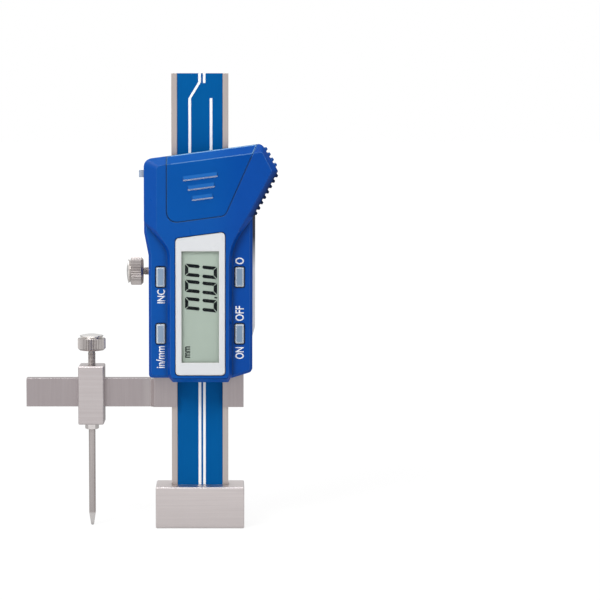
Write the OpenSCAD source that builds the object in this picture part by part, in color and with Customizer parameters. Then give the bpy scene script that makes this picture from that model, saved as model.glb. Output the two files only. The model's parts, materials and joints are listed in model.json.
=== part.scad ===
// Small digital height gauge: a flat base block, an upright beam with a glued-in
// scale, and a display slider whose arm carries a clamped scriber needle.
// Origin: centre of the base's rest face. X to the right, Y to the back, Z up.
// All sizes in millimetres, at the zero reading: needle tip level with the rest face.

/* [Beam] */
// Width of the beam
beam_w = 16; // [15:0.5:18]
// Thickness of the beam
beam_t = 3.5; // [3:0.1:4.5]
// Height of the beam's top end above the rest face
beam_top = 128; // [127:1:180]
// Depth of the recess that the scale is glued into
scale_recess = 0.9; // [0.85:0.05:1.2]
// Width of the scale strip and of its label
scale_w = 12.7; // [11:0.1:12.8]
// Thickness of the scale strip
strip_t = 0.65; // [0.4:0.05:0.7]
// Thickness of the printed label on the scale strip
label_t = 0.12; // [0.08:0.01:0.15]
// Distance of the stop screw below the beam's top end
stop_drop = 2.5; // [2.2:0.1:3.5]
// Diameter of the stop screw's head
stop_head_d = 3.6; // [3:0.1:4.2]
// Thickness of the stop screw's head
stop_head_t = 1.3; // [1:0.1:1.5]

/* [Base] */
// Width of the base block
base_w = 25; // [22:1:60]
// Depth of the base block, front to back
base_d = 12; // [10:1:40]
// Height of the base block
base_h = 11.8; // [10:0.1:13]
// Depth to which the beam sits in the base block
seat_depth = 9; // [7:0.5:9.5]
// Size of the bevel along the block's edges
edge_break = 0.3; // [0.2:0.1:0.8]
// Distance between the two screws that hold the beam in the base
base_screw_pitch = 9; // [7:0.5:10]
// Diameter of the base screws' shanks
base_screw_d = 2; // [1.6:0.1:2.5]
// Diameter of the base screws' heads
base_head_d = 3.8; // [3.2:0.1:4.2]

/* [Slider frame] */
// Height of the arm's lower edge above the rest face
slider_z = 34.2; // [32:0.1:36]
// Height of the arm
arm_h = 8; // [6:0.1:9]
// Thickness of the arm
arm_t = 3.6; // [3:0.1:4.5]
// Distance of the arm's front face in front of the beam's centre
arm_front = 2; // [1.6:0.1:2.4]
// Reach of the arm to the left of the beam's centre
arm_reach = 49.1; // [44:0.1:70]
// Reach of the frame's foot to the left of the beam's centre
foot_left = 12.9; // [12.5:0.1:13.4]
// Reach of the frame's foot to the right of the beam's centre
foot_right = 12.3; // [11.5:0.1:13]
// Reach of the frame's right-hand ledge
ledge_reach = 15.55; // [15.2:0.05:16.2]
// How far the frame's edge lies inside the cover's outline
frame_inset = 0.35; // [0.2:0.05:0.5]
// Thickness of the frame's front lips over the beam's edges
lip_t = 1.5; // [1.2:0.1:2]
// Thickness of the frame's back plate
plate_t = 1.5; // [1.2:0.1:2.5]
// Width of the front slot between the lips
lip_gap_w = 12.9; // [12.8:0.1:13.6]
// Running gap on each side of the beam
slide_gap = 0.05; // [0.03:0.01:0.1]
// Thickness of the gib strip at the beam's left edge
gib_t = 0.8; // [0.6:0.1:1]
// How far the gib strip reaches above its upper screw
gib_end = 6.7; // [3:0.1:7]

/* [Cover] */
// Depth of the cover in front of the frame
cover_d = 8.7; // [8.4:0.1:9.4]
// How far the button flanks lie behind the raised front
flank_drop = 2.4; // [2:0.1:2.8]
// Thickness of the cover's walls
wall = 1.2; // [1:0.1:1.3]
// Thickness of the front wall round the battery lid
lid_wall = 1.8; // [1.6:0.1:2]
// Reach of the cover's upper part to the left
cover_left = 15.45; // [15.3:0.05:16]
// Reach of the cover's waist to the left
waist_left = 14.2; // [14:0.1:14.6]
// Reach of the cover to the right, below the thumb grip
cover_right = 14.7; // [14.5:0.1:15]
// Height of the battery part, from the display's top to the cover's upper left corner
battery_part_h = 21.87; // [21:0.1:26]
// Height of the shoulders' part of the cover, down from its upper left corner
shoulder_drop = 20.2; // [19.8:0.1:21]
// Length of the battery lid along its left side
lid_len = 17.65; // [17:0.05:18]
// Slope of the cover's top edge, rising to the right, in degrees
top_slope = 7.56; // [6:0.1:9]
// Reach of the thumb grip to the right, at the roots of its teeth
grip_reach = 21.75; // [21:0.05:24]
// Height of the grip's outermost point below the cover's upper left corner
grip_drop = 3.2; // [2.4:0.1:4]
// Height of the grip's long flank
grip_h = 12.9; // [11:0.1:14]
// Distance along the flank from one grip tooth to the next
tooth_pitch = 1.7; // [1.4:0.05:2.2]
// Height of the grip teeth
tooth_h = 0.65; // [0.4:0.05:0.8]
// Width of the raised body below its shoulders, at the front face
neck_w = 16.3; // [16:0.1:17.4]
// Radius of the curve from the raised body into its left shoulder
left_curve_r = 5.4; // [3:0.1:8]
// Radius of the curve from the raised body into the thumb grip
right_curve_r = 13.8; // [5:0.1:15]

/* [Display] */
// Distance of the display's centre line to the right of the beam's centre
display_x = 0.19; // [0.1:0.01:0.3]
// Width of the bezel
bezel_w = 13.7; // [13.2:0.1:13.8]
// Height of the bezel along its left side
bezel_h = 38; // [37:0.1:42]
// Height of the bezel's lower edge above the cover's lower edge
bezel_rise = 2.13; // [1.9:0.05:3]
// Height of the window's lower edge above the bezel's
window_rise = 3.5; // [3:0.1:4]
// Width of the display window
window_w = 10.4; // [9:0.1:11]
// Height of the bezel's frame above the window, at its left side
window_drop = 3.5; // [3:0.1:5]
// Thickness of the clear lens
lens_t = 0.5; // [0.4:0.1:0.8]
// Thickness of the liquid crystal panel
lcd_t = 1.8; // [1.2:0.1:2.2]
// Thickness of the circuit board
board_t = 0.8; // [0.6:0.1:1]

/* [Buttons] */
// Width of a button
button_w = 2.4; // [2:0.1:2.6]
// Height of a button
button_h = 5.45; // [4.5:0.05:5.8]
// Gap round a button in its hole
button_gap = 0.24; // [0.12:0.01:0.3]
// How far a button stands out of the flank
button_proud = 0.35; // [0.2:0.05:0.6]
// Bevel along the front edges of a button
button_bevel = 0.2; // [0.1:0.05:0.3]
// Radius of a button's corners
button_corner = 0.4; // [0.2:0.05:0.6]
// Travel of a button
button_travel = 0.5; // [0.3:0.05:0.6]
// Distance of the left-hand buttons from the beam's centre
left_button_x = 10.85; // [10.7:0.05:11]
// Distance of the right-hand buttons from the beam's centre
right_button_x = 11.1; // [11:0.05:11.3]
// Height of the lower buttons above the cover's lower edge
low_button_z = 13.5; // [12.5:0.1:16]
// Height of the upper buttons above the cover's lower edge
high_button_z = 29.35; // [25:0.05:31]

/* [Battery] */
// Diameter of the button cell
cell_d = 11.6; // [9.5:0.1:11.6]
// Thickness of the button cell
cell_t = 5.4; // [4.2:0.1:5.4]
// Thickness of the battery lid
lid_t = 1; // [0.8:0.1:1.1]
// Gap round the battery lid
lid_gap = 0.1; // [0.06:0.01:0.15]

/* [Thumb screws] */
// Diameter of the knurled heads
head_d = 7.9; // [6.5:0.1:9]
// Length of the knurled part of a head
head_len = 3.5; // [2.8:0.1:4.5]
// Number of knurl teeth round a head
knurl_teeth = 48; // [30:1:60]
// Depth of the knurl
knurl_depth = 0.22; // [0.1:0.01:0.3]
// Diameter of the polished cap on a head
cap_d = 6.7; // [5.5:0.1:7]
// Height of the cap above the knurl
cap_rise = 1.2; // [0.9:0.1:1.5]
// Diameter of the screws' stems
stem_d = 2.2; // [1.8:0.1:2.4]
// Pitch of the stems' thread
thread_pitch = 0.4; // [0.35:0.05:0.5]
// Gap between a stem and its hole, on the radius
stem_gap = 0.05; // [0.03:0.01:0.09]
// Free length of the lock screw's stem outside the frame
lock_free = 2.15; // [1.8:0.05:3]
// Height of the lock screw above the arm's lower edge
lock_rise = 38.3; // [34:0.1:42]
// Free length of the clamp screw's stem above the block
clamp_free = 4.15; // [2:0.05:6]
// Length of the soft slug in front of each screw
slug_len = 1; // [0.6:0.1:1.4]

/* [Scriber carrier] */
// Distance of the carrier's centre to the left of the beam's centre
carrier_x = 30.7; // [29:0.1:40]
// Width of the carrier block along the arm
block_w = 7.2; // [6:0.1:8]
// Depth of the carrier block, front to back
block_d = 9.2; // [8:0.1:11]
// Thickness of the block above the arm
block_over = 3.7; // [3:0.1:5]
// Thickness of the block below the arm
block_under = 4.85; // [4:0.05:6]
// Diameter of the needle
needle_d = 1.9; // [1.5:0.1:2.3]
// Length of the needle's tapered point
needle_point = 3.6; // [2:0.1:5]
// Radius of the needle's rounded tip
tip_r = 0.5; // [0.2:0.05:0.6]
// Width of the needle's nut across its flats
nut_af = 3.4; // [3.2:0.1:4.5]
// Thickness of the needle's nut
nut_t = 1.75; // [1.5:0.05:2.5]

/* [Hidden] */
$fn = 40;
eps = 0.01;

// How far a cutting shape reaches past the face that it cuts
over = 1;

// Planes across the gauge, front is negative
beam_front = -beam_t / 2;
lip_back = beam_front - slide_gap;
frame_front = lip_back - lip_t;
plate_front = beam_t / 2 + slide_gap;
frame_back = plate_front + plate_t;
cover_front = frame_front - cover_d;
flank_front = cover_front + flank_drop;
cover_inner = cover_front + wall;
flank_inner = flank_front + wall;
lid_inner = cover_front + lid_wall;
lid_back = cover_front + lid_t;

// Heights that other pieces follow
seat_z = base_h - seat_depth;
base_screw_z = seat_z + seat_depth / 2;
stop_z = beam_top - stop_drop;
stop_floor = 0.25;
stop_play = 0.1;
stop_slot_w = 0.5;
arm_top = slider_z + arm_h;
lip_overlap = 0.1;
cover_z = arm_top - lip_overlap;
lock_z = slider_z + lock_rise;
carrier_y = -arm_front + arm_t / 2;
block_top = arm_top + block_over;
block_bottom = slider_z - block_under;
needle_roof = 0.6;
needle_play = 0.1;

// Heights of the cover's forms above its own lower edge
cover_h = bezel_rise + bezel_h + battery_part_h;
shoulder_z = cover_h - shoulder_drop;
grip_z = cover_h - grip_drop;
grip_low_z = grip_z - grip_h;

// Left edge of the frame behind the cover's waist
frame_left = waist_left - frame_inset;

// Channel of the frame, with the gib strip at its left
channel_right = beam_w / 2 + slide_gap;
gib_right = -beam_w / 2 - slide_gap;
gib_left = gib_right - gib_t;
channel_left = gib_left - slide_gap;
gib_w = beam_t - 6 * slide_gap;
gib_rise = 5;
gib_z = slider_z + gib_rise;
gib_screw_d = 1.6;
gib_screw_sink = 0.5;
gib_slot_w = 0.3;

// Bosses that take the cover's screws
screw_d = 1.6;
screw_gap = 0.05;
screw_head_d = 2.9;
boss_d = 3.2;
screw_grip = 3.6;
screw_end_room = 0.3;
low_screw_rise = 4.4;
high_screw_rise = 0.1;
right_screw_rise = 2.1;
left_screw_in = 2.7;
low_right_screw_in = 4.1;
high_left_screw_in = 3.85;
high_right_screw_in = 2.7;
cover_screw_spots = [
    [left_screw_in - waist_left, cover_z + low_screw_rise],
    [cover_right - low_right_screw_in, cover_z + low_screw_rise],
    [high_left_screw_in - cover_left, cover_z + shoulder_z + high_screw_rise],
    [cover_right - high_right_screw_in, cover_z + shoulder_z + right_screw_rise]
];

// Gib screws, each above a screw of the cover and clear of it
low_gib_screw_rise = 7.3;
high_gib_screw_rise = 4.5;
gib_screw_zs = [
    cover_screw_spots[0].y + low_gib_screw_rise,
    cover_screw_spots[2].y + high_gib_screw_rise
];
gib_len = gib_screw_zs[1] + gib_end - gib_z;

// Display stack behind the front wall
bezel_sink = 0.1;
bezel_gap = 0.1;
bezel_z = cover_z + bezel_rise;
bezel_flange = 0.4;
bezel_flange_t = 0.5;
bezel_back = cover_inner + bezel_flange_t;
window_z = bezel_z + window_rise;
window_h = bezel_h - window_rise - window_drop;
lens_margin = 0.6;
lens_gap = 0.05;
lens_sink = 0.3;
lens_front = cover_front + bezel_sink + lens_sink;
lens_back = lens_front + lens_t;
panel_margin = 0.9;
panel_gap = 0.1;
panel_front = lens_back + panel_gap;
panel_back = panel_front + lcd_t;
rubber_w = 1.2;

// Buttons and the switches behind them
button_flange = 0.5;
button_flange_t = 0.8;
flange_gap = 0.1;
button_front = flank_front - button_proud;
button_flange_front = flank_inner + flange_gap;
post_d = 1.6;
post_len = 1.3;
post_gap = 0.1;
button_tip = button_flange_front + button_flange_t + post_len;
switch_tip = button_tip + button_travel + post_gap;
switch_plunger = 0.4;
switch_w = 3;
switch_h = 4.2;

// Button at the cover's upper left edge, and its switch
side_button_drop = 4;
side_button_z = cover_z + cover_h - side_button_drop;
side_button_y = (frame_front + flank_inner) / 2;
side_button_h = 2;
side_button_d = 2.6;
side_button_proud = 1.45;
side_flange = 0.4;
side_flange_t = 0.7;
side_flange_left = -cover_left + wall + 2 * flange_gap;
side_travel = 0.6;
side_post_d = 1.2;
side_post_len = 4.2;
side_plunger = 0.3;
side_switch_w = 2.7;
side_switch_h = 2.6;
side_switch_d = 2.8;

// Circuit board: wide behind the buttons, narrow behind the battery
board_lift = 0.25;
board_back = lip_back - board_lift;
board_front = board_back - board_t;
board_gap = 0.15;
board_edge = 0.15;
boss_room = 0.4;
board_left = left_button_x + switch_w / 2 + board_edge;
board_right = right_button_x + switch_w / 2 + board_edge;
board_neck_left = -cover_screw_spots[2].x - boss_d / 2 - boss_room;
board_neck_right = cover_screw_spots[3].x - boss_d / 2 - boss_room;
board_rise = 1.9;
board_step_drop = 5.8;
board_top_drop = 2.7;
board_z = cover_z + low_screw_rise + boss_d / 2 + board_rise;
board_step_z = cover_z + shoulder_z - board_step_drop;
board_top_z = cover_z + cover_h - board_top_drop;
chip_d = 5;
chip_t = 0.9;

// Battery bay behind the sliding lid
cell_x = 0.8;
cell_drop = 9.1;
cell_play = 0.2;
cell_z = cover_z + cover_h - cell_drop;
cell_front = lid_inner + cell_play;
cell_back = cell_front + cell_t;
cell_rim = 0.5;
cell_lip = 1;
pocket_gap = 0.25;
pocket_wall = 0.8;
pocket_d = cell_d + 2 * pocket_gap;
pocket_play = 0.1;
pocket_arm_drop = 2;
pocket_front = lid_inner + pocket_play;
pocket_arm_z = cell_z - pocket_arm_drop;
plus_slot_low = 0.5;
plus_slot_high = 4.5;

// Sprung strips that touch the cell's side and its back
contact_t = 0.25;
plus_contact_w = 3;
plus_foot = 2;
plus_top_gap = 1;
minus_contact_w = 2.4;
minus_foot_low = -4.5;
minus_foot_high = -1;
minus_touch_low = 1;
minus_touch_high = 2.5;

function unit(v) = v / norm(v);

// Wedges on the battery lid, below the cover's upper left corner, and their lengths
wedge_spots = [[0.18, -4.67], [0.44, -7.42], [0.8, -10.34]];
wedge_lengths = [9.45, 7.3, 5.65];
wedge_h = 1.2;
wedge_rise = 0.35;

// Heads of the thumb screws, and where the lock screw's head and slug are
head_bevel = 0.25;
foot_bevel = 0.6;
cap_neck = 0.45;
cap_edge = 0.15;
cap_dome = 0.45;
lock_head_x = -frame_left - lock_free;
lock_slug_right = gib_left - slide_gap;
slug_play = 0.02;
lock_stem_len = lock_slug_right - slug_len - slug_play - lock_head_x;

// Height of the cover's sloping top edge at a place across the cover
function top_edge(x) = cover_h + (x + cover_left) * tan(top_slope);

// Points of an arc that rounds corner b between its neighbours a and c
function corner_arc(a, b, c, r, n = 6) =
    let (
        u = unit(a - b),
        w = unit(c - b),
        half = acos(u * w) / 2,
        centre = b + unit(u + w) * r / sin(half),
        from = b + u * r / tan(half) - centre,
        to = b + w * r / tan(half) - centre,
        a0 = atan2(from.y, from.x),
        turn = (atan2(to.y, to.x) - a0 + 540) % 360 - 180
    )
    [for (i = [0:n]) centre + r * [cos(a0 + turn * i / n), sin(a0 + turn * i / n)]];

// Outline whose corners are rounded: each corner is [x, z, radius]
function rounded(corners) = [
    for (i = [0:len(corners) - 1])
        let (
            n = len(corners),
            a = corners[(i + n - 1) % n],
            b = corners[i],
            c = corners[(i + 1) % n]
        )
        each b.z > 0
            ? corner_arc([a.x, a.y], [b.x, b.y], [c.x, c.y], b.z)
            : [[b.x, b.y]]
];

// Outline moved inwards by d; the outline runs anticlockwise
function inset(corners, d) = [
    for (i = [0:len(corners) - 1])
        let (
            n = len(corners),
            a = corners[(i + n - 1) % n],
            b = corners[i],
            c = corners[(i + 1) % n],
            u = unit([b.x - a.x, b.y - a.y]),
            w = unit([c.x - b.x, c.y - b.y]),
            nu = [-u.y, u.x],
            nw = [-w.y, w.x],
            shift = d * (nu + nw) / (1 + nu * nw)
        )
        [b.x + shift.x, b.y + shift.y, b.z]
];

// Outlines of the cover, seen from the front, above its lower edge
teeth_drop = 0.3;
grip_corner_x = 17.2;
upper_outline = [
    [-9.5, shoulder_z - 4.4, 0],
    [9.5, shoulder_z - 3.15, 0],
    [cover_right, grip_low_z, 0],
    [grip_reach, grip_z, 0.6],
    [grip_corner_x, top_edge(grip_corner_x), 1.6],
    [-cover_left, cover_h, 2.3],
    [-cover_left, shoulder_z + 3, 1]
];
front_bevel = 2.3;
side_bevel = 3.55;
body_slope = 0.85;
grip_slope = 1.5;
waist_inset = inset(upper_outline, body_slope);
grip_inset = inset(upper_outline, grip_slope);
upper_face = [
    waist_inset[0],
    waist_inset[1],
    grip_inset[2],
    grip_inset[3],
    [grip_corner_x + 0.1, top_edge(grip_corner_x) - front_bevel, 1],
    [-cover_left + side_bevel, top_edge(-cover_left + side_bevel) - front_bevel, 1.2],
    [-cover_left + side_bevel, shoulder_z + 0.5, 1]
];
bevel_depth = 1.8;
bevel_back = cover_front + bevel_depth;
neck_lip = 1.2;
neck_corner = 1.85;
neck_top = shoulder_z + 0.2;
neck_half = neck_w / 2 + body_slope;
neck_outline = [
    [-7.5, 0, 0.3],
    [8, 0, 0.3],
    [neck_half, neck_corner, 0.6],
    [neck_half, neck_top, 0],
    [-neck_half, neck_top, 0],
    [-neck_half, neck_corner, 0.6]
];
neck_face = [
    [0.6 - neck_w / 2, neck_lip, 0.4],
    [neck_w / 2 - 0.4, neck_lip, 0.4],
    [neck_w / 2, 2 * neck_lip, 0.4],
    [neck_w / 2, neck_top, 0],
    [-neck_w / 2, neck_top, 0],
    [-neck_w / 2, 2 * neck_lip, 0.4]
];
flank_bevel = 0.7;
flank_low = 1.1;
lower_outline = [
    [-waist_left, flank_low, 1],
    [9.1, flank_low, 0],
    [cover_right - 0.6, flank_low + 1.55, 0.8],
    [cover_right, flank_low + 2.5, 0.8],
    [cover_right, grip_low_z + 1, 0],
    [-waist_left, shoulder_z - 3.8, 0]
];
shoulder_outline = [
    [-waist_left, shoulder_z - 6.5, 0],
    [0, shoulder_z - 6.5, 0],
    [0, shoulder_z + 10.2, 0],
    [-cover_left, shoulder_z + 10.2, 0],
    [-cover_left, shoulder_z, 1.5]
];
lid_left = -9.07;
lid_low_z = cover_h - lid_len;
lid_low_right = 7.05;
lid_flare = 0.445;
lid_over = cover_h + 12;
lid_low_right_z = lid_low_z + (lid_low_right - lid_left) * tan(top_slope);
lid_left_corner = 2.8;
lid_right_corner = 2;
lid_ledge = 1;
lid_top_ledge = 4.5;
lid_top_strip = front_bevel + 0.8;

// Tongue on the lid's back that tucks in behind the front wall below the lid
tongue_w = 5;
tongue_t = 0.5;
tongue_gap = 0.15;
tongue_root = 0.9;
tongue_sink = 0.05;
tongue_reach = 0.1;
tongue_rise = 3.8;
tongue_front = lid_inner - tongue_t - tongue_sink;
tongue_low = cover_z + lid_low_z - tongue_reach;
tongue_top = cover_z + lid_low_z + tongue_rise;

lid_outline = [
    [lid_left, lid_low_z, lid_left_corner],
    [lid_low_right, lid_low_right_z, lid_right_corner],
    [lid_low_right + (lid_over - lid_low_right_z) * lid_flare, lid_over, 0],
    [lid_left, lid_over, 0]
];

// Shape drawn from the front and given its depth between two planes
module slab(front, back) {
    translate([0, back, 0])
        rotate([90, 0, 0])
            linear_extrude(back - front)
                children();
}

// Box between two corners
module block(low, high) {
    translate(low)
        cube(high - low);
}

// Cylinder along the depth axis
module rod_y(x, z, d, front, back) {
    translate([x, back, z])
        rotate([90, 0, 0])
            cylinder(d = d, h = back - front);
}

// Cylinder along the width axis
module rod_x(y, z, d, left, right) {
    translate([left, y, z])
        rotate([0, 90, 0])
            cylinder(d = d, h = right - left);
}

// Block with a bevel along its four vertical edges and round its top and bottom
module bevelled_block(w, d, h, bevel) {
    intersection() {
        linear_extrude(h)
            polygon([
                [-w / 2 + bevel, -d / 2], [w / 2 - bevel, -d / 2],
                [w / 2, -d / 2 + bevel], [w / 2, d / 2 - bevel],
                [w / 2 - bevel, d / 2], [-w / 2 + bevel, d / 2],
                [-w / 2, d / 2 - bevel], [-w / 2, -d / 2 + bevel]
            ]);
        translate([0, d / 2, 0])
            rotate([90, 0, 0])
                linear_extrude(d)
                    polygon([
                        [-w / 2 + bevel, 0], [w / 2 - bevel, 0],
                        [w / 2, bevel], [w / 2, h - bevel],
                        [w / 2 - bevel, h], [-w / 2 + bevel, h],
                        [-w / 2, h - bevel], [-w / 2, bevel]
                    ]);
        translate([-w / 2, 0, 0])
            rotate([90, 0, 90])
                linear_extrude(w)
                    polygon([
                        [-d / 2 + bevel, 0], [d / 2 - bevel, 0],
                        [d / 2, bevel], [d / 2, h - bevel],
                        [d / 2 - bevel, h], [-d / 2 + bevel, h],
                        [-d / 2, h - bevel], [-d / 2, bevel]
                    ]);
    }
}

// Countersunk screw along the depth axis, its head flush with the plane at back
module sunk_screw(x, z, d, head, front, back) {
    head_depth = (head - d) / 2;
    slot_len = head * 0.64;
    slot_w = head * 0.14;
    slot_depth = head_depth * 0.7;
    translate([x, back, z])
        rotate([90, 0, 0])
            difference() {
                union() {
                    cylinder(d1 = head, d2 = d, h = head_depth);
                    cylinder(d = d, h = back - front);
                }
                for (turn = [0, 90])
                    rotate([0, 0, turn])
                        translate([-slot_len / 2, -slot_w / 2, -eps])
                            cube([slot_len, slot_w, slot_depth]);
            }
}

// Hole for that screw
module sunk_hole(x, z, d, head, front, back, gap) {
    head_depth = (head - d) / 2;
    translate([x, back, z])
        rotate([90, 0, 0]) {
            cylinder(d = d + 2 * gap, h = back - front);
            cylinder(d1 = head + 2 * gap, d2 = d + 2 * gap, h = head_depth);
            translate([0, 0, -over])
                cylinder(d = head + 2 * gap, h = over + eps);
        }
}

module base_block() {
    color([0.76, 0.73, 0.72])
        difference() {
            bevelled_block(base_w, base_d, base_h, edge_break);
            block([-beam_w / 2 - slide_gap, beam_front - slide_gap, seat_z],
                  [beam_w / 2 + slide_gap, -beam_front + slide_gap, base_h + over]);
            for (side = [-1, 1])
                sunk_hole(side * base_screw_pitch / 2, base_screw_z, base_screw_d, base_head_d,
                          0, base_d / 2, screw_gap);
        }
}

module beam() {
    stop_hole_end = beam_front + scale_recess + stop_floor;
    color([0.7, 0.66, 0.65])
        difference() {
            block([-beam_w / 2, beam_front, seat_z], [beam_w / 2, -beam_front, beam_top]);
            block([-scale_w / 2 - slide_gap, beam_front - over, base_h],
                  [scale_w / 2 + slide_gap, beam_front + scale_recess, beam_top + over]);
            for (side = [-1, 1])
                rod_y(side * base_screw_pitch / 2, base_screw_z, base_screw_d + 2 * screw_gap,
                      beam_front - over, -beam_front + over);
            rod_y(0, stop_z, stem_d + 2 * screw_gap, stop_hole_end, -beam_front + over);
        }
}

module scale_strip() {
    color([0.55, 0.45, 0.25])
        block([-scale_w / 2, beam_front + scale_recess - strip_t, base_h],
              [scale_w / 2, beam_front + scale_recess, beam_top]);
}

module scale_label() {
    back = beam_front + scale_recess - strip_t;
    color([0.01, 0.35, 0.61])
        block([-scale_w / 2, back - label_t, base_h], [scale_w / 2, back, beam_top]);
}

module base_screws() {
    color([0.6, 0.6, 0.62])
        for (side = [-1, 1])
            sunk_screw(side * base_screw_pitch / 2, base_screw_z, base_screw_d, base_head_d,
                       beam_front, base_d / 2);
}

module stop_screw() {
    tip = beam_front + scale_recess + stop_floor + stop_play;
    color([0.6, 0.6, 0.62])
        difference() {
            union() {
                rod_y(0, stop_z, stop_head_d, -beam_front, -beam_front + stop_head_t);
                rod_y(0, stop_z, stem_d, tip, -beam_front + eps);
            }
            block([-stop_head_d, -beam_front + stop_head_t / 2, stop_z - stop_slot_w / 2],
                  [stop_head_d, -beam_front + stop_head_t + over, stop_z + stop_slot_w / 2]);
        }
}

// Outline of the steel frame, seen from the front: a foot, a ledge at the right,
// and a back for the cover that follows the cover's outline a little inside it
module frame_outline() {
    foot_overlap = 4;
    ledge_left = cover_right - frame_inset;
    ledge_low = 8;
    ledge_turn = 10.8;
    ledge_start = 15;
    ledge_corner = 2;
    ledge_top = grip_low_z + 1.5;
    translate([-foot_left, slider_z])
        square([foot_left + foot_right, arm_h + foot_overlap]);
    translate([0, cover_z]) {
        for (outline = [lower_outline, shoulder_outline, upper_outline])
            polygon(rounded(inset(outline, frame_inset)));
        polygon(rounded([
            [0, ledge_low, 0],
            [ledge_left, ledge_low, 0],
            [ledge_left, ledge_turn, ledge_corner],
            [ledge_reach, ledge_start, ledge_corner],
            [ledge_reach, ledge_top, 0],
            [0, ledge_top, 0]
        ]));
    }
}

// Space for the circuit board in the frame's front
module board_outline(gap) {
    polygon([
        [-board_left - gap, board_z - gap],
        [board_right + gap, board_z - gap],
        [board_right + gap, board_step_z + gap],
        [board_neck_right + gap, board_step_z + gap],
        [board_neck_right + gap, board_top_z + gap],
        [-board_neck_left - gap, board_top_z + gap],
        [-board_neck_left - gap, board_step_z + gap],
        [-board_left - gap, board_step_z + gap]
    ]);
}

module slider_frame() {
    arm_step = 1.1;
    arm_root = 1;
    frame_top = cover_z + top_edge(grip_reach) + over;
    color([0.64, 0.61, 0.61])
        difference() {
            union() {
                slab(frame_front, frame_back)
                    frame_outline();
                block([-arm_reach, -arm_front, slider_z],
                      [arm_root - foot_left, -arm_front + arm_t, arm_top]);
                translate([0, 0, slider_z])
                    linear_extrude(arm_h)
                        polygon([
                            [-foot_left - arm_step, -arm_front + eps],
                            [-foot_left, frame_front],
                            [arm_root - foot_left, frame_front],
                            [arm_root - foot_left, -arm_front + eps]
                        ]);
            }
            block([channel_left, lip_back, slider_z - over], [channel_right, plate_front, frame_top]);
            block([-lip_gap_w / 2, frame_front - over, slider_z - over],
                  [lip_gap_w / 2, lip_back + eps, frame_top]);
            slab(frame_front - over, board_back)
                board_outline(board_gap);
            block([channel_left, board_back - eps, board_z - board_gap],
                  [channel_right, lip_back + eps, board_top_z + board_gap]);
            for (spot = cover_screw_spots)
                sunk_hole(spot.x, spot.y, screw_d, screw_head_d, frame_front - over, frame_back, screw_gap);
            rod_x(0, lock_z, stem_d + 2 * stem_gap, -cover_left - over, channel_left + eps);
            for (z = gib_screw_zs)
                rod_x(0, z, gib_screw_d + 2 * stem_gap, -cover_left - over, channel_left + eps);
        }
}

module gib_strip() {
    color([0.8, 0.65, 0.3])
        block([gib_left, -gib_w / 2, gib_z], [gib_right, gib_w / 2, gib_z + gib_len]);
}

module gib_screws() {
    left = -frame_left + gib_screw_sink;
    color([0.4, 0.4, 0.42])
        for (z = gib_screw_zs)
            difference() {
                rod_x(0, z, gib_screw_d, left, gib_left);
                block([left - over, -gib_screw_d, z - gib_slot_w / 2],
                      [left + gib_screw_sink, gib_screw_d, z + gib_slot_w / 2]);
            }
}

// Shape that rises from one outline to a smaller one at the front
module bevelled_slab(front, bevel_end, back, outline, face) {
    hull() {
        slab(bevel_end, back)
            polygon(rounded(outline));
        slab(front, back)
            polygon(rounded(face));
    }
}

// Raised upper body of the cover, with its sloping top and its grip
module upper_body() {
    bevelled_slab(cover_front, bevel_back, frame_front, upper_outline, upper_face);
}

// One row of grip teeth from point a to point b, standing out to the right of the way
module tooth_row(a, b) {
    run = norm(b - a);
    along = unit(b - a);
    out = [along.y, -along.x];
    end_room = 0.2;
    root = along * 0.32 * tooth_pitch;
    crest = along * 0.18 * tooth_pitch;
    sunk = out * tooth_h / 2;
    low = out * 0.2 * tooth_h;
    high = out * tooth_h;
    count = floor((run - 2 * end_room) / tooth_pitch);
    start = (run - (count - 1) * tooth_pitch) / 2;
    for (i = [0:count - 1]) {
        mid = a + along * (start + i * tooth_pitch);
        polygon([
            mid - root - sunk,
            mid - root + low,
            mid - crest + high,
            mid + crest + high,
            mid + root + low,
            mid + root - sunk
        ]);
    }
}

module grip_teeth() {
    low = [cover_right, grip_low_z];
    tip = [grip_reach, grip_z];
    top = [grip_corner_x, top_edge(grip_corner_x)];
    slab(bevel_back + teeth_drop, frame_front) {
        tooth_row(low, tip);
        tooth_row(tip, top);
    }
}

// Curved slope that leads from the neck's side into the shoulder edge through a and b
module shoulder_curve(side, a, b, r) {
    x = side * neck_half;
    corner = [x, a.y + (x - a.x) * (b.y - a.y) / (b.x - a.x)];
    up = unit([b.x - a.x, b.y - a.y]);
    down = [0, -1];
    half = acos(up * down) / 2;
    reach = r / tan(half);
    depth = 4 * body_slope;
    centre = corner + unit(up + down) * r / sin(half);
    difference() {
        slab(cover_front, flank_front + eps)
            polygon([
                corner + down * reach,
                corner + up * reach,
                corner + up * reach + side * depth * [-up.y, up.x],
                corner + down * reach - side * depth * [1, 0]
            ]);
        translate([centre.x, bevel_back, centre.y])
            rotate([90, 0, 0])
                cylinder(r1 = r, r2 = r + 2 * body_slope, h = 2 * bevel_depth, $fn = 120);
        rod_y(centre.x, centre.y, 2 * r, bevel_back - eps, flank_front + over, $fn = 120);
    }
}

// Outside of the cover before it is hollowed
module cover_body() {
    upper_body();
    bevelled_slab(cover_front, bevel_back, frame_front, neck_outline, neck_face);
    shoulder_curve(-1, upper_outline[0], upper_outline[6], left_curve_r);
    shoulder_curve(1, upper_outline[1], upper_outline[2], right_curve_r);
    bevelled_slab(flank_front, flank_front + flank_bevel, frame_front,
                  lower_outline, inset(lower_outline, flank_bevel));
    bevelled_slab(flank_front, flank_front + flank_bevel, frame_front,
                  shoulder_outline, inset(shoulder_outline, flank_bevel));
    grip_teeth();
}

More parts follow.
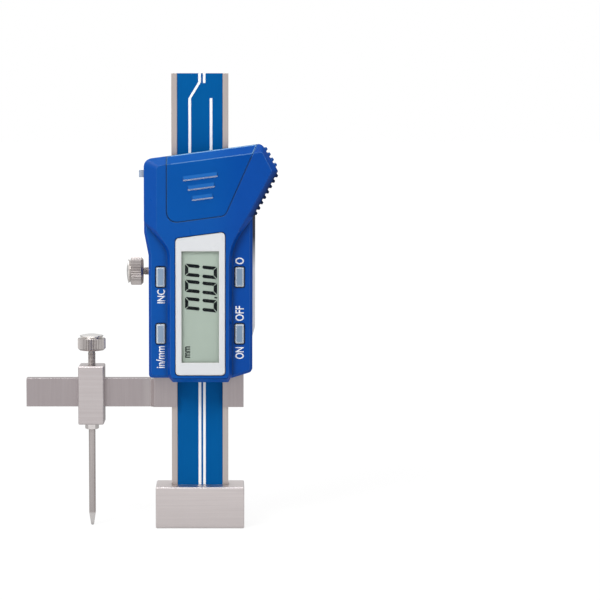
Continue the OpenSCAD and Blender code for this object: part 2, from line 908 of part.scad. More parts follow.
// Hollow of the cover, open at its back
module cover_hollow() {
    back = frame_front + over;
    bevel_wall = 0.6;
    upper_wall = 1.3;
    face_wall = 0.8;
    display_low = 1.5;
    display_room = 5;
    display_half = bezel_w / 2 + bezel_flange + bezel_gap;
    slab(flank_inner, back)
        polygon([for (p = inset(lower_outline, wall)) [p.x, p.y]]);
    slab(flank_inner, back)
        polygon([for (p = inset(shoulder_outline, wall)) [p.x, p.y]]);
    slab(bevel_back + bevel_wall, back)
        polygon([for (p = inset(upper_outline, upper_wall)) [p.x, p.y]]);
    slab(lid_inner, back)
        polygon([for (p = inset(upper_face, face_wall)) [p.x, p.y]]);
    translate([display_x, 0, 0])
        block([-display_half, cover_inner, display_low], [display_half, back, bezel_h + display_room]);
}

// Front outline of the bezel, its top edge parallel to the cover's
module bezel_outline(grow) {
    half = bezel_w / 2 + grow;
    rise = 2 * half * tan(top_slope);
    low = bezel_z - cover_z - grow;
    high = low + bezel_h + 2 * grow;
    polygon(rounded([
        [display_x - half, low, 1],
        [display_x + half, low, 1],
        [display_x + half, high + rise, 1],
        [display_x - half, high, 1]
    ]));
}

// Outline of the lid, grown by a gap all round
module lid_area(grow) {
    polygon([for (p = rounded(inset(lid_outline, -grow))) [p.x, p.y]]);
}

// Strip along the top edge where the lid is as deep as the bevel
module lid_top_area(grow) {
    intersection() {
        lid_area(grow);
        polygon([
            [-cover_left, top_edge(-cover_left) - lid_top_strip - grow],
            [grip_reach, top_edge(grip_reach) - lid_top_strip - grow],
            [grip_reach, lid_over],
            [-cover_left, lid_over]
        ]);
    }
}

// Way through the front wall for the cell, inside the ledge that carries the lid
module bay_area() {
    intersection() {
        lid_area(-lid_ledge);
        polygon([
            [-cover_left, 0],
            [grip_reach, 0],
            [grip_reach, top_edge(grip_reach) - lid_top_ledge],
            [-cover_left, top_edge(-cover_left) - lid_top_ledge]
        ]);
    }
}

module lid_space(grow) {
    slab(cover_front - over, lid_back + grow / 2)
        lid_area(grow);
    slab(cover_front - over, bevel_back + grow / 2)
        lid_top_area(grow);
}

module button_spots(side, z) {
    translate([side < 0 ? -left_button_x : right_button_x, 0, z])
        children();
}

// Ring that keeps the button cell in its place
module cell_pocket() {
    difference() {
        union() {
            rod_y(cell_x, cell_z, pocket_d + 2 * pocket_wall, pocket_front, cell_back);
            block([-cover_left + wall / 2, pocket_front, pocket_arm_z],
                  [cell_x, cell_back, pocket_arm_z + pocket_wall]);
            block([cell_x, pocket_front, pocket_arm_z],
                  [grip_reach, cell_back, pocket_arm_z + pocket_wall]);
        }
        rod_y(cell_x, cell_z, pocket_d, pocket_front - over, cell_back + over);
        block([cell_x, pocket_front - over, cell_z - plus_slot_low],
              [cell_x + pocket_d, cell_back + over, cell_z + plus_slot_high]);
    }
}

module cover() {
    boss_front = flank_inner - eps;
    color([0.08, 0.31, 0.63])
        difference() {
            union() {
                translate([0, 0, cover_z])
                    difference() {
                        cover_body();
                        cover_hollow();
                        lid_space(lid_gap);
                        slab(cover_front - over, lid_inner + eps)
                            bay_area();
                        slab(cover_front - over, cover_inner + eps)
                            bezel_outline(bezel_gap);
                    }
                for (spot = cover_screw_spots)
                    rod_y(spot.x, spot.y, boss_d, boss_front, frame_front);
                // The ring round the cell and its two arms
                intersection() {
                    cell_pocket();
                    translate([0, 0, cover_z])
                        slab(cover_front, frame_front)
                            polygon([for (p = inset(upper_outline, wall / 2)) [p.x, p.y]]);
                }
            }
            for (spot = cover_screw_spots)
                rod_y(spot.x, spot.y, screw_d + 2 * screw_gap,
                      frame_front - screw_grip - screw_end_room, frame_front + over);
            for (side = [-1, 1], z = [low_button_z, high_button_z])
                button_spots(side, cover_z + z)
                    slab(flank_front - over, flank_inner + eps)
                        button_area(button_gap);
            block([-cover_left - over, side_button_y - side_button_d / 2 - button_gap,
                   side_button_z - side_button_h / 2 - button_gap],
                  [-cover_left + wall + over / 2, side_button_y + side_button_d / 2 + button_gap,
                   side_button_z + side_button_h / 2 + button_gap]);
            block([-tongue_w / 2 - tongue_gap, tongue_front - tongue_gap, tongue_low - tongue_gap],
                  [tongue_w / 2 + tongue_gap, lid_inner + eps, cover_z + lid_over]);
        }
}

module cover_screws() {
    color([0.6, 0.6, 0.62])
        for (spot = cover_screw_spots)
            sunk_screw(spot.x, spot.y, screw_d, screw_head_d, frame_front - screw_grip, frame_back);
}

// Space of the display window, a margin larger all round
module window_space(front, back, margin) {
    block([display_x - window_w / 2 - margin, front, window_z - margin],
          [display_x + window_w / 2 + margin, back, window_z + window_h + margin]);
}

module display_bezel() {
    half = bezel_w / 2 + bezel_flange;
    flange_low = bezel_z - bezel_flange;
    flange_high = bezel_z + bezel_h + bezel_flange;
    color([0.88, 0.88, 0.9])
        difference() {
            union() {
                translate([0, 0, cover_z])
                    slab(cover_front + bezel_sink, cover_inner + eps)
                        bezel_outline(0);
                block([display_x - half, cover_inner, flange_low],
                      [display_x + half, bezel_back, flange_high]);
            }
            window_space(cover_front, bezel_back + over, 0);
            window_space(lens_front, bezel_back + over, lens_margin + lens_gap);
            window_space(panel_front, bezel_back + over, panel_margin + lens_gap);
        }
}

module display_lens() {
    color([0.85, 0.9, 0.9, 0.35])
        window_space(lens_front, lens_back, lens_margin);
}

module display_panel() {
    color([0.67, 0.72, 0.68])
        window_space(panel_front, panel_back, panel_margin);
}

module contact_rubbers() {
    half = window_w / 2 + panel_margin;
    color([0.25, 0.25, 0.27])
        for (side = [-1, 1])
            translate([display_x + side * (half - rubber_w / 2), 0, 0])
                block([-rubber_w / 2, panel_back, board_z + rubber_w / 2],
                      [rubber_w / 2, board_front, board_step_z]);
}

module circuit_board() {
    color([0.1, 0.4, 0.2]) {
        slab(board_front, board_back)
            board_outline(0);
        rod_y(display_x, cover_z + low_button_z + chip_d / 2, chip_d,
              board_front - chip_t, board_front + eps);
    }
}

// Small push switch that stands on the board
module push_switch() {
    block([-switch_w / 2, switch_tip + switch_plunger, -switch_h / 2],
          [switch_w / 2, board_front, switch_h / 2]);
    rod_y(0, 0, post_d, switch_tip, switch_tip + switch_plunger + eps);
}

module key_switches() {
    color([0.2, 0.2, 0.22])
        for (side = [-1, 1], z = [low_button_z, high_button_z])
            button_spots(side, cover_z + z)
                push_switch();
}

module side_switch() {
    left = side_flange_left + side_flange_t + side_post_len + side_travel + post_gap;
    color([0.2, 0.2, 0.22]) {
        block([left + side_plunger, side_button_y - side_switch_d / 2, side_button_z - side_switch_h / 2],
              [left + side_plunger + side_switch_w, board_front, side_button_z + side_switch_h / 2]);
        rod_x(side_button_y, side_button_z, side_post_d, left, left + side_plunger + eps);
    }
}

module battery_cell() {
    color([0.75, 0.75, 0.77])
        translate([cell_x, cell_back, cell_z])
            rotate([90, 0, 0]) {
                cylinder(d = cell_d - 2 * cell_lip, h = cell_rim + eps);
                translate([0, 0, cell_rim])
                    cylinder(d = cell_d, h = cell_t - cell_rim);
            }
}

module battery_plus_contact() {
    left = cell_x + cell_d / 2;
    color([0.8, 0.7, 0.35])
        translate([0, 0, cell_z])
            linear_extrude(plus_contact_w)
                polygon([
                    [left, cell_front + plus_top_gap],
                    [left + contact_t, cell_front + plus_top_gap],
                    [left + contact_t, board_front - contact_t],
                    [left + plus_foot, board_front - contact_t],
                    [left + plus_foot, board_front],
                    [left, board_front]
                ]);
}

module battery_minus_contact() {
    color([0.8, 0.7, 0.35])
        translate([cell_x - minus_contact_w / 2, 0, cell_z])
            rotate([90, 0, 90])
                linear_extrude(minus_contact_w)
                    polygon([
                        [board_front, minus_foot_low],
                        [board_front, minus_foot_high],
                        [cell_back + contact_t, minus_touch_low],
                        [cell_back + contact_t, minus_touch_high],
                        [cell_back, minus_touch_high],
                        [cell_back, minus_touch_low - contact_t / 2],
                        [board_front - contact_t, minus_foot_high - contact_t / 2],
                        [board_front - contact_t, minus_foot_low]
                    ]);
}

// Raised wedge on the lid for the thumb, its edge towards the bottom
module lid_wedge(x, z, length) {
    nose = 0.15;
    translate([x, cover_front, cover_z + z])
        rotate([0, -top_slope, 0])
            translate([-length / 2, 0, 0])
                rotate([90, 0, 90])
                    linear_extrude(length)
                        polygon([
                            [eps, -wedge_h / 2],
                            [-wedge_rise, -wedge_h / 2 + nose],
                            [0, wedge_h / 2],
                            [eps, wedge_h / 2]
                        ]);
}

module battery_lid() {
    color([0.09, 0.33, 0.66]) {
        translate([0, 0, cover_z])
            intersection() {
                upper_body();
                union() {
                    slab(cover_front - over, lid_back)
                        lid_area(0);
                    slab(cover_front - over, bevel_back)
                        lid_top_area(0);
                }
            }
        for (i = [0:2])
            lid_wedge(wedge_spots[i].x, cover_h + wedge_spots[i].y, wedge_lengths[i]);
        block([-tongue_w / 2, lid_back - eps, tongue_top - tongue_root],
              [tongue_w / 2, tongue_front + eps, tongue_top]);
        block([-tongue_w / 2, tongue_front, tongue_low],
              [tongue_w / 2, tongue_front + tongue_t, tongue_top]);
    }
}

// Front view of a button, grown by a gap all round
module button_area(grow) {
    half_w = button_w / 2 + grow;
    half_h = button_h / 2 + grow;
    r = button_corner + grow;
    polygon(rounded([
        [-half_w, -half_h, r], [half_w, -half_h, r], [half_w, half_h, r], [-half_w, half_h, r]
    ]));
}

// Cap of a button, its front edges bevelled all round
module button_cap() {
    half_w = button_w / 2;
    half_h = button_h / 2;
    back = button_flange_front + eps;
    intersection() {
        slab(button_front, back)
            button_area(0);
        translate([0, 0, -half_h])
            linear_extrude(button_h)
                polygon([
                    [-half_w, back], [-half_w, button_front + button_bevel],
                    [-half_w + button_bevel, button_front], [half_w - button_bevel, button_front],
                    [half_w, button_front + button_bevel], [half_w, back]
                ]);
        translate([-half_w, 0, 0])
            rotate([90, 0, 90])
                linear_extrude(button_w)
                    polygon([
                        [back, -half_h], [button_front + button_bevel, -half_h],
                        [button_front, -half_h + button_bevel], [button_front, half_h - button_bevel],
                        [button_front + button_bevel, half_h], [back, half_h]
                    ]);
    }
}

// Button cap with its flange and its post, at the origin of its spot
module button(side, z) {
    color([0.55, 0.63, 0.72])
        button_spots(side, cover_z + z) {
            button_cap();
            block([-button_w / 2 - button_flange, button_flange_front, -button_h / 2 - button_flange],
                  [button_w / 2 + button_flange, button_flange_front + button_flange_t,
                   button_h / 2 + button_flange]);
            rod_y(0, 0, post_d, button_flange_front, button_tip);
        }
}

module mode_button() {
    button(-1, high_button_z);
}

module units_button() {
    button(-1, low_button_z);
}

module zero_button() {
    button(1, high_button_z);
}

module power_button() {
    button(1, low_button_z);
}

module side_button() {
    half_d = side_button_d / 2;
    half_h = side_button_h / 2;
    flange_right = side_flange_left + side_flange_t;
    color([0.52, 0.57, 0.68]) {
        block([-cover_left - side_button_proud, side_button_y - half_d, side_button_z - half_h],
              [side_flange_left + eps, side_button_y + half_d, side_button_z + half_h]);
        block([side_flange_left, side_button_y - half_d - side_flange, side_button_z - half_h - side_flange],
              [flange_right, side_button_y + half_d + side_flange, side_button_z + half_h + side_flange]);
        rod_x(side_button_y, side_button_z, side_post_d, side_flange_left, flange_right + side_post_len);
    }
}

// Outline of a knurled head: straight teeth all round
function knurl(r, depth, count) = [
    for (i = [0:2 * count - 1])
        let (reach = i % 2 == 0 ? r : r - depth)
        reach * [cos(i * 180 / count), sin(i * 180 / count)]
];

// Threaded stem along +Z, drawn as a row of rings
module threaded_stem(length) {
    r = stem_d / 2;
    root = r - thread_pitch * 0.35;
    turns = floor((length - thread_pitch) / thread_pitch);
    translate([0, 0, -length])
        rotate_extrude()
            polygon(concat(
                [[0, length + eps], [0, 0], [root, 0]],
                [for (i = [0:turns - 1]) each [
                    [r, (i + 0.4) * thread_pitch],
                    [r, (i + 0.6) * thread_pitch],
                    [root, (i + 1) * thread_pitch]
                ]],
                [[root, length + eps]]
            ));
}

// Thumb screw along +Z: the head starts at the origin, the stem runs down
module thumb_screw(stem_len) {
    r = head_d / 2;
    half = cap_d / 2;
    flare = cap_rise - cap_dome - cap_edge;
    dome_r = (half * half + cap_dome * cap_dome) / (2 * cap_dome);
    intersection() {
        linear_extrude(head_len)
            polygon(knurl(r, knurl_depth, knurl_teeth));
        rotate_extrude()
            polygon([
                [0, 0], [r - foot_bevel, 0], [r + eps, foot_bevel],
                [r + eps, head_len - head_bevel], [r - head_bevel, head_len], [0, head_len]
            ]);
    }
    translate([0, 0, head_len - eps])
        cylinder(r1 = half - cap_neck, r2 = half, h = flare + 2 * eps);
    translate([0, 0, head_len + flare])
        intersection() {
            cylinder(r = half, h = cap_rise);
            translate([0, 0, cap_edge + cap_dome - dome_r])
                sphere(r = dome_r, $fn = 160);
        }
    threaded_stem(stem_len);
}

// Soft slug between a screw and the piece that it presses on, along +Z
module slug() {
    cylinder(d = stem_d - 2 * stem_gap, h = slug_len);
}

module lock_slug() {
    color([0.8, 0.65, 0.3])
        translate([lock_slug_right, 0, lock_z])
            rotate([0, -90, 0])
                slug();
}

module lock_screw() {
    color([0.72, 0.69, 0.67])
        translate([lock_head_x, 0, lock_z])
            rotate([0, -90, 0])
                thumb_screw(lock_stem_len);
}

module carrier_block() {
    color([0.76, 0.73, 0.73])
        difference() {
            translate([-carrier_x, carrier_y, block_bottom])
                bevelled_block(block_w, block_d, block_top - block_bottom, edge_break);
            block([-carrier_x - block_w, carrier_y - arm_t / 2 - slide_gap, slider_z - slide_gap],
                  [-carrier_x + block_w, carrier_y + arm_t / 2 + slide_gap, arm_top + slide_gap]);
            translate([-carrier_x, carrier_y, arm_top])
                cylinder(d = stem_d + 2 * stem_gap, h = block_over + over);
            translate([-carrier_x, carrier_y, block_bottom - over])
                cylinder(d = needle_d + 2 * stem_gap, h = block_under - needle_roof + over);
        }
}

module scriber_needle() {
    length = slider_z - needle_roof - needle_play;
    tip_z = tip_r * (1 - cos(60));
    color([0.7, 0.66, 0.65])
        translate([-carrier_x, carrier_y, 0])
            rotate_extrude()
                polygon(concat(
                    [for (a = [0:15:60]) tip_r * [sin(a), 1 - cos(a)]],
                    [[needle_d / 2, needle_point], [needle_d / 2, length], [0, length]]
                ));
}

module needle_nut() {
    bevel_d = nut_af * 0.94;
    bevel_rise = 2 * nut_t;
    color([0.74, 0.71, 0.7])
        translate([-carrier_x, carrier_y, block_bottom - nut_t])
            difference() {
                intersection() {
                    cylinder(d = nut_af / cos(30), h = nut_t, $fn = 6);
                    cylinder(d1 = bevel_d, d2 = bevel_d + 2 * bevel_rise, h = nut_t);
                    cylinder(d1 = bevel_d + 2 * bevel_rise, d2 = bevel_d, h = nut_t);
                }
                translate([0, 0, -nut_t])
                    cylinder(d = needle_d + 2 * stem_gap, h = 3 * nut_t);
            }
}

module clamp_slug() {
    color([0.8, 0.65, 0.3])
        translate([-carrier_x, carrier_y, arm_top + slide_gap])
            slug();
}

module clamp_screw() {
    head_z = block_top + clamp_free;
    color([0.72, 0.69, 0.67])
        translate([-carrier_x, carrier_y, head_z])
            thumb_screw(head_z - arm_top - slide_gap - slug_len - slug_play);
}

base_block();
beam();
scale_strip();
scale_label();
base_screws();
stop_screw();
slider_frame();
gib_strip();
gib_screws();
cover();
cover_screws();
display_bezel();
display_lens();
display_panel();
contact_rubbers();
circuit_board();
key_switches();
side_switch();
battery_cell();
battery_plus_contact();
battery_minus_contact();
battery_lid();
mode_button();
units_button();
zero_button();
power_button();
side_button();
lock_slug();
lock_screw();
carrier_block();
scriber_needle();
needle_nut();
clamp_slug();
clamp_screw();
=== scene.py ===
import json
import math

import bpy
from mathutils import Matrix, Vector


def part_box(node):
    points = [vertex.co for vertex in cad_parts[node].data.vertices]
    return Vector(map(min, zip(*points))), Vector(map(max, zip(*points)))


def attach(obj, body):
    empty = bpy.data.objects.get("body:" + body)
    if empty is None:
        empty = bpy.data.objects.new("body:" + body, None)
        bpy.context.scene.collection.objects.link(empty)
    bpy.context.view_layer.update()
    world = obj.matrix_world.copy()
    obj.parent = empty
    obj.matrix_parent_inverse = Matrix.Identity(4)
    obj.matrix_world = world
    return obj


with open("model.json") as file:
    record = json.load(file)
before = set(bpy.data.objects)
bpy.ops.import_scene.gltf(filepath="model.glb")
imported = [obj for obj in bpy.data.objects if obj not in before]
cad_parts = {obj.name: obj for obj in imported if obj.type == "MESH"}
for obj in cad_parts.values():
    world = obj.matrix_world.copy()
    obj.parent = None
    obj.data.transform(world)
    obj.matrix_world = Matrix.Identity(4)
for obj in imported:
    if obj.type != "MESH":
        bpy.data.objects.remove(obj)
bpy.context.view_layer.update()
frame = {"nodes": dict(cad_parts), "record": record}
nodes = frame["nodes"]

MM = 0.001

# Front planes of the button flanks, display panel, label and slider frame, in millimetres.
# The front is negative.
FLANK_FRONT = -9.6
PANEL_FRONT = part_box("display_panel")[0].y / MM
LABEL_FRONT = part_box("scale_label")[0].y / MM
LEDGE_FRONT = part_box("slider_frame")[0].y / MM


# ---------------------------------------------------------------- node helpers

def fill(tree, node, entries):
    """Puts a number or colour on each input of a node, or links the socket that gives it."""
    for name, value in entries.items():
        if isinstance(value, bpy.types.NodeSocket):
            tree.links.new(value, node.inputs[name])
        else:
            node.inputs[name].default_value = value


def math_node(tree, operation, first, second=None, clamp=False):
    node = tree.nodes.new("ShaderNodeMath")
    node.operation = operation
    node.use_clamp = clamp
    fill(tree, node, {0: first})
    if second is not None:
        fill(tree, node, {1: second})
    return node.outputs[0]


def product(tree, *values):
    result = values[0]
    for value in values[1:]:
        result = math_node(tree, "MULTIPLY", result, value)
    return result


def greatest(tree, *values):
    result = values[0]
    for value in values[1:]:
        result = math_node(tree, "MAXIMUM", result, value)
    return result


def absolute(tree, value):
    return math_node(tree, "ABSOLUTE", value)


def within(tree, value, low, high):
    """One where a length lies between two in millimetres, nought elsewhere."""
    return product(tree, math_node(tree, "GREATER_THAN", value, low * MM),
                   math_node(tree, "LESS_THAN", value, high * MM))


def span_node(tree, value, low, high, to_low, to_high):
    """Maps one span of values onto another and holds it at its ends."""
    node = tree.nodes.new("ShaderNodeMapRange")
    fill(tree, node, {"Value": value, "From Min": low, "From Max": high,
                      "To Min": to_low, "To Max": to_high})
    return node.outputs[0]


# Most of a noise lies between these
NOISE_LOW, NOISE_HIGH = 0.3, 0.7


def noise_span(tree, value, to_low, to_high):
    """Spreads a noise over a span of values."""
    return span_node(tree, value, NOISE_LOW, NOISE_HIGH, to_low, to_high)


def object_place(tree):
    return tree.nodes.new("ShaderNodeTexCoord").outputs["Object"]


def split_axes(tree, vector):
    node = tree.nodes.new("ShaderNodeSeparateXYZ")
    tree.links.new(vector, node.inputs[0])
    return node.outputs


def noise(tree, place, scale, detail=2.0, **entries):
    node = tree.nodes.new("ShaderNodeTexNoise")
    fill(tree, node, {"Vector": place, "Scale": scale, "Detail": detail, **entries})
    return node.outputs["Fac"]


def vector_node(tree, operation, first, second=None):
    node = tree.nodes.new("ShaderNodeVectorMath")
    node.operation = operation
    fill(tree, node, {0: first})
    if second is not None:
        fill(tree, node, {1: second})
    return node.outputs


def mix_shaders(tree, share, first, second):
    node = tree.nodes.new("ShaderNodeMixShader")
    fill(tree, node, {0: share, 1: first, 2: second})
    return node.outputs[0]


# Inputs and output of a Mix node that mixes colours
MIX_SHARE, MIX_FIRST, MIX_SECOND, MIX_RESULT = 0, 6, 7, 2


def mix_colour(tree, share, first, second, way="MIX"):
    node = tree.nodes.new("ShaderNodeMix")
    node.data_type = "RGBA"
    node.blend_type = way
    first, second = [(*entry, 1) if isinstance(entry, tuple) else entry for entry in (first, second)]
    fill(tree, node, {MIX_SHARE: share, MIX_FIRST: first, MIX_SECOND: second})
    return node.outputs[MIX_RESULT]


def darker(colour, share):
    return tuple(share * part for part in colour)


def bump(tree, height, strength, distance, normal=None):
    node = tree.nodes.new("ShaderNodeBump")
    fill(tree, node, {"Strength": strength, "Distance": distance, "Height": height})
    if normal is not None:
        fill(tree, node, {"Normal": normal})
    return node.outputs["Normal"]


def new_material(name):
    material = bpy.data.materials.new(name)
    material.use_nodes = True
    return material, material.node_tree, material.node_tree.nodes["Principled BSDF"]


def new_group(name, inputs, outputs):
    """Node group of plain numbers: inputs are (name, kind, value), outputs are (name, kind)."""
    tree = bpy.data.node_groups.new(name, "ShaderNodeTree")
    for label, kind, value in inputs:
        socket = tree.interface.new_socket(name=label, in_out="INPUT", socket_type=kind)
        socket.default_value = value
    for label, kind in outputs:
        tree.interface.new_socket(name=label, in_out="OUTPUT", socket_type=kind)
    start = tree.nodes.new("NodeGroupInput")
    end = tree.nodes.new("NodeGroupOutput")
    return tree, start, end


def use_group(tree, group, **values):
    node = tree.nodes.new("ShaderNodeGroup")
    node.node_tree = group
    for name, value in values.items():
        node.inputs[name.replace("_", " ")].default_value = value
    return node


# ---------------------------------------------------------------- shared effects

def build_brush_lines():
    """Fine lines of brushed or ground metal: Stretch sets the lines' direction."""
    tree, start, end = new_group(
        "brush_lines",
        [("Stretch", "NodeSocketVector", (60, 60, 3000)), ("Contrast", "NodeSocketFloat", 1.0)],
        [("Lines", "NodeSocketFloat"), ("Patches", "NodeSocketFloat")])
    place = object_place(tree)
    stretched = vector_node(tree, "MULTIPLY", place, start.outputs["Stretch"])[0]
    fine = noise(tree, stretched, 1.0, 4.0, Roughness=0.7)
    spread = span_node(tree, fine, 0.25, 0.75, -0.5, 0.5)
    lines = math_node(tree, "ADD", product(tree, spread, start.outputs["Contrast"]), 0.5, clamp=True)
    fill(tree, end, {"Lines": lines, "Patches": noise(tree, place, 130.0)})
    return tree


def build_edge_wear_and_highlight():
    """Mask of the edges, broken up by noise, and the normal with the edges rounded."""
    tree, start, end = new_group(
        "edge_wear_and_highlight",
        [("Width", "NodeSocketFloat", 0.0003), ("Break Up", "NodeSocketFloat", 0.4),
         ("Full At", "NodeSocketFloat", 0.16)],
        [("Edge", "NodeSocketFloat"), ("Normal", "NodeSocketVector")])
    bevel = tree.nodes.new("ShaderNodeBevel")
    bevel.samples = 6
    fill(tree, bevel, {"Radius": start.outputs["Width"]})
    surface = tree.nodes.new("ShaderNodeNewGeometry")
    dot = vector_node(tree, "DOT_PRODUCT", bevel.outputs[0], surface.outputs["Normal"])["Value"]
    turned = math_node(tree, "SUBTRACT", 1.0, dot, clamp=True)
    mask = span_node(tree, turned, 0.01, start.outputs["Full At"], 0.0, 1.0)
    broken = product(tree, noise(tree, object_place(tree), 900.0, 3.0), start.outputs["Break Up"])
    edge = math_node(tree, "SUBTRACT", mask, broken, clamp=True)
    fill(tree, end, {"Edge": edge, "Normal": bevel.outputs[0]})
    return tree


def build_moulded_grain():
    """Fine grain of moulded plastic, soft mottling, and faint rubs from handling."""
    tree, start, end = new_group(
        "moulded_grain",
        [("Grain Scale", "NodeSocketFloat", 5200.0), ("Rub Scale", "NodeSocketFloat", 240.0)],
        [("Grain", "NodeSocketFloat"), ("Mottle", "NodeSocketFloat"), ("Rubs", "NodeSocketFloat")])
    place = object_place(tree)
    rubs = noise(tree, place, start.outputs["Rub Scale"], 5.0, Distortion=0.6)
    fill(tree, end, {"Grain": noise(tree, place, start.outputs["Grain Scale"]),
                     "Mottle": noise(tree, place, 70.0, 3.0),
                     "Rubs": span_node(tree, rubs, 0.55, 0.8, 0.0, 1.0)})
    return tree


def build_crevice_shade():
    """Mask of inner corners, from occlusion, for painted shade there."""
    tree, start, end = new_group(
        "crevice_shade",
        [("Reach", "NodeSocketFloat", 0.0012)],
        [("Crevice", "NodeSocketFloat")])
    near = tree.nodes.new("ShaderNodeAmbientOcclusion")
    near.samples = 6
    fill(tree, near, {"Distance": start.outputs["Reach"]})
    fill(tree, end, {"Crevice": span_node(tree, near.outputs["AO"], 0.35, 0.95, 1.0, 0.0)})
    return tree


# Places on the cover's front, in millimetres. A line is a point (x, z) on it and the way outwards.
LID_LINES = (
    ((-9.12, 90.0), (-1.0, 0.0)),
    ((-6.7, 86.83), (0.122, -0.992)),
    ((7.5, 89.6), (0.914, -0.407)),
)
LID_SEAM_END = 105.0
SEAM_REACH = 1.3
LID_SEAM_SHARE = 0.6
BEZEL_X, BEZEL_Z = (-7.5, 7.9), (43.0, 84.6)
WELLS_X, WELLS_Z = (9.2, 13.1), (50.0, 76.0)
GRIP_LINE = ((21.75, 100.9), (0.878, -0.48))
GRIP_DEPTH = (-1.4, 0.15)
GRIP_FOOT, GRIP_FADE = 88.2, (99.0, 104.5)
WEDGES_LINE = ((0.0, 103.2), (-0.123, 1.0))
WEDGES_X, WEDGES_FOOT = (-7.0, 6.0), 91.0


def build_seam_zone():
    """Masks of the cover's front, where painted shade and light go: the rims of the lid, bezel and
    buttons, the grip, and the wedges.
    """
    tree, _, end = new_group(
        "seam_zone", [],
        [("Zone", "NodeSocketFloat"), ("Grip", "NodeSocketFloat"), ("Wedges", "NodeSocketFloat")])
    axes = split_axes(tree, object_place(tree))
    x, z = axes["X"], axes["Z"]

    def beyond(line):
        (at_x, at_z), (out_x, out_z) = line
        along_x = product(tree, math_node(tree, "SUBTRACT", x, at_x * MM), out_x)
        along_z = product(tree, math_node(tree, "SUBTRACT", z, at_z * MM), out_z)
        return math_node(tree, "ADD", along_x, along_z)

    def above(height):
        return math_node(tree, "GREATER_THAN", z, height * MM)

    outside = greatest(tree, *[beyond(line) for line in LID_LINES])
    lid = product(tree, math_node(tree, "LESS_THAN", absolute(tree, outside), SEAM_REACH * MM),
                  math_node(tree, "LESS_THAN", z, LID_SEAM_END * MM))
    bezel = product(tree, within(tree, x, *BEZEL_X), within(tree, z, *BEZEL_Z))
    wells = product(tree, within(tree, absolute(tree, x), *WELLS_X), within(tree, z, *WELLS_Z))
    rims = greatest(tree, product(tree, lid, LID_SEAM_SHARE), greatest(tree, bezel, wells))
    teeth = span_node(tree, beyond(GRIP_LINE), GRIP_DEPTH[0] * MM, GRIP_DEPTH[1] * MM, 0.0, 1.0)
    fade = span_node(tree, z, GRIP_FADE[0] * MM, GRIP_FADE[1] * MM, 1.0, 0.0)
    wedges = math_node(tree, "LESS_THAN", beyond(WEDGES_LINE), 0.0)
    fill(tree, end, {"Zone": rims,
                     "Grip": product(tree, teeth, above(GRIP_FOOT), fade),
                     "Wedges": product(tree, wedges, above(WEDGES_FOOT), within(tree, x, *WEDGES_X))})
    return tree


brush_lines = build_brush_lines()
edge_wear_and_highlight = build_edge_wear_and_highlight()
moulded_grain = build_moulded_grain()
crevice_shade = build_crevice_shade()
seam_zone = build_seam_zone()


# ---------------------------------------------------------------- camera and studio

# The camera that fits the photograph: place in metres, tilt from straight down in degrees, lens in
# millimetres, and the frame's shift to the right as a share of its width
CAMERA_PLACE = (0.006765, -0.58902, 0.11269)
CAMERA_TILT = 85.3
CAMERA_LENS = 125.4
CAMERA_SHIFT = 0.1267

# Spans of a direction's upward or rightward part, and of the brightness that each gives, in the
# reflected room and in the soft light of the rest
ROOM_UP, ROOM_RIGHT = (-0.6, 0.9, 0.62, 0.95), (-1.0, 1.0, 0.2, -0.3)
SOFT_UP, SOFT_RIGHT = (-1.0, 1.0, 0.2, 0.68), (-1.0, 1.0, 0.1, -0.1)

# Spans of a place on the paper, in metres, and of how white it looks round the gauge and how dim it
# is in reflections, behind the gauge and to its right
PAPER_ROUND = (0.12, 0.6, 0.8, 1.0)
DIM_BEHIND, DIM_RIGHT = (-0.12, 0.2, 0.0, 0.62), (-0.3, 0.5, 0.0, 0.2)
PAPER_GLOW = 1.08

# Soft boxes: place, aim, width and height in metres, and power in watts
LAMPS = {
    "key_lamp": ((-0.3, -0.44, 0.5), (0, 0, 0.07), 0.25, 0.25, 2.3),
    "fill_lamp": ((0.8, -0.8, 0.3), (0, 0, 0.06), 0.7, 0.9, 0.9),
    "top_lamp": ((0.0, 0.0, 1.1), (0, 0, 0.05), 0.9, 0.9, 4.0),
}


def deselect_all():
    for item in bpy.context.selected_objects:
        item.select_set(False)


def set_camera():
    bpy.ops.object.camera_add(location=CAMERA_PLACE, rotation=(math.radians(CAMERA_TILT), 0, 0))
    camera = bpy.context.object
    camera.name = "studio_camera"
    camera.data.sensor_width = 36
    camera.data.lens = CAMERA_LENS
    camera.data.shift_x = CAMERA_SHIFT
    camera.data.clip_start = 0.01
    camera.data.clip_end = 50
    bpy.context.scene.camera = camera


def background(tree, colour):
    node = tree.nodes.new("ShaderNodeBackground")
    fill(tree, node, {"Color": colour, "Strength": 1.0})
    return node.outputs[0]


def set_world():
    """White behind the gauge; a soft grey room, brighter up and to the left, in its reflections."""
    world = bpy.data.worlds.new("studio_world")
    bpy.context.scene.world = world
    world.use_nodes = True
    tree = world.node_tree
    tree.nodes.clear()
    out = tree.nodes.new("ShaderNodeOutputWorld")
    path = tree.nodes.new("ShaderNodeLightPath").outputs
    way = split_axes(tree, tree.nodes.new("ShaderNodeTexCoord").outputs["Generated"])
    height = span_node(tree, way["Z"], *ROOM_UP)
    side = span_node(tree, way["X"], *ROOM_RIGHT)
    room = background(tree, math_node(tree, "ADD", height, side, clamp=True))
    above = span_node(tree, way["Z"], *SOFT_UP)
    beside = span_node(tree, way["X"], *SOFT_RIGHT)
    soft_fill = background(tree, math_node(tree, "ADD", above, beside, clamp=True))
    white = background(tree, (1, 1, 1, 1))
    reflected = mix_shaders(tree, path["Is Glossy Ray"], soft_fill, room)
    seen = greatest(tree, path["Is Camera Ray"], path["Is Transmission Ray"])
    fill(tree, out, {"Surface": mix_shaders(tree, seen, reflected, white)})


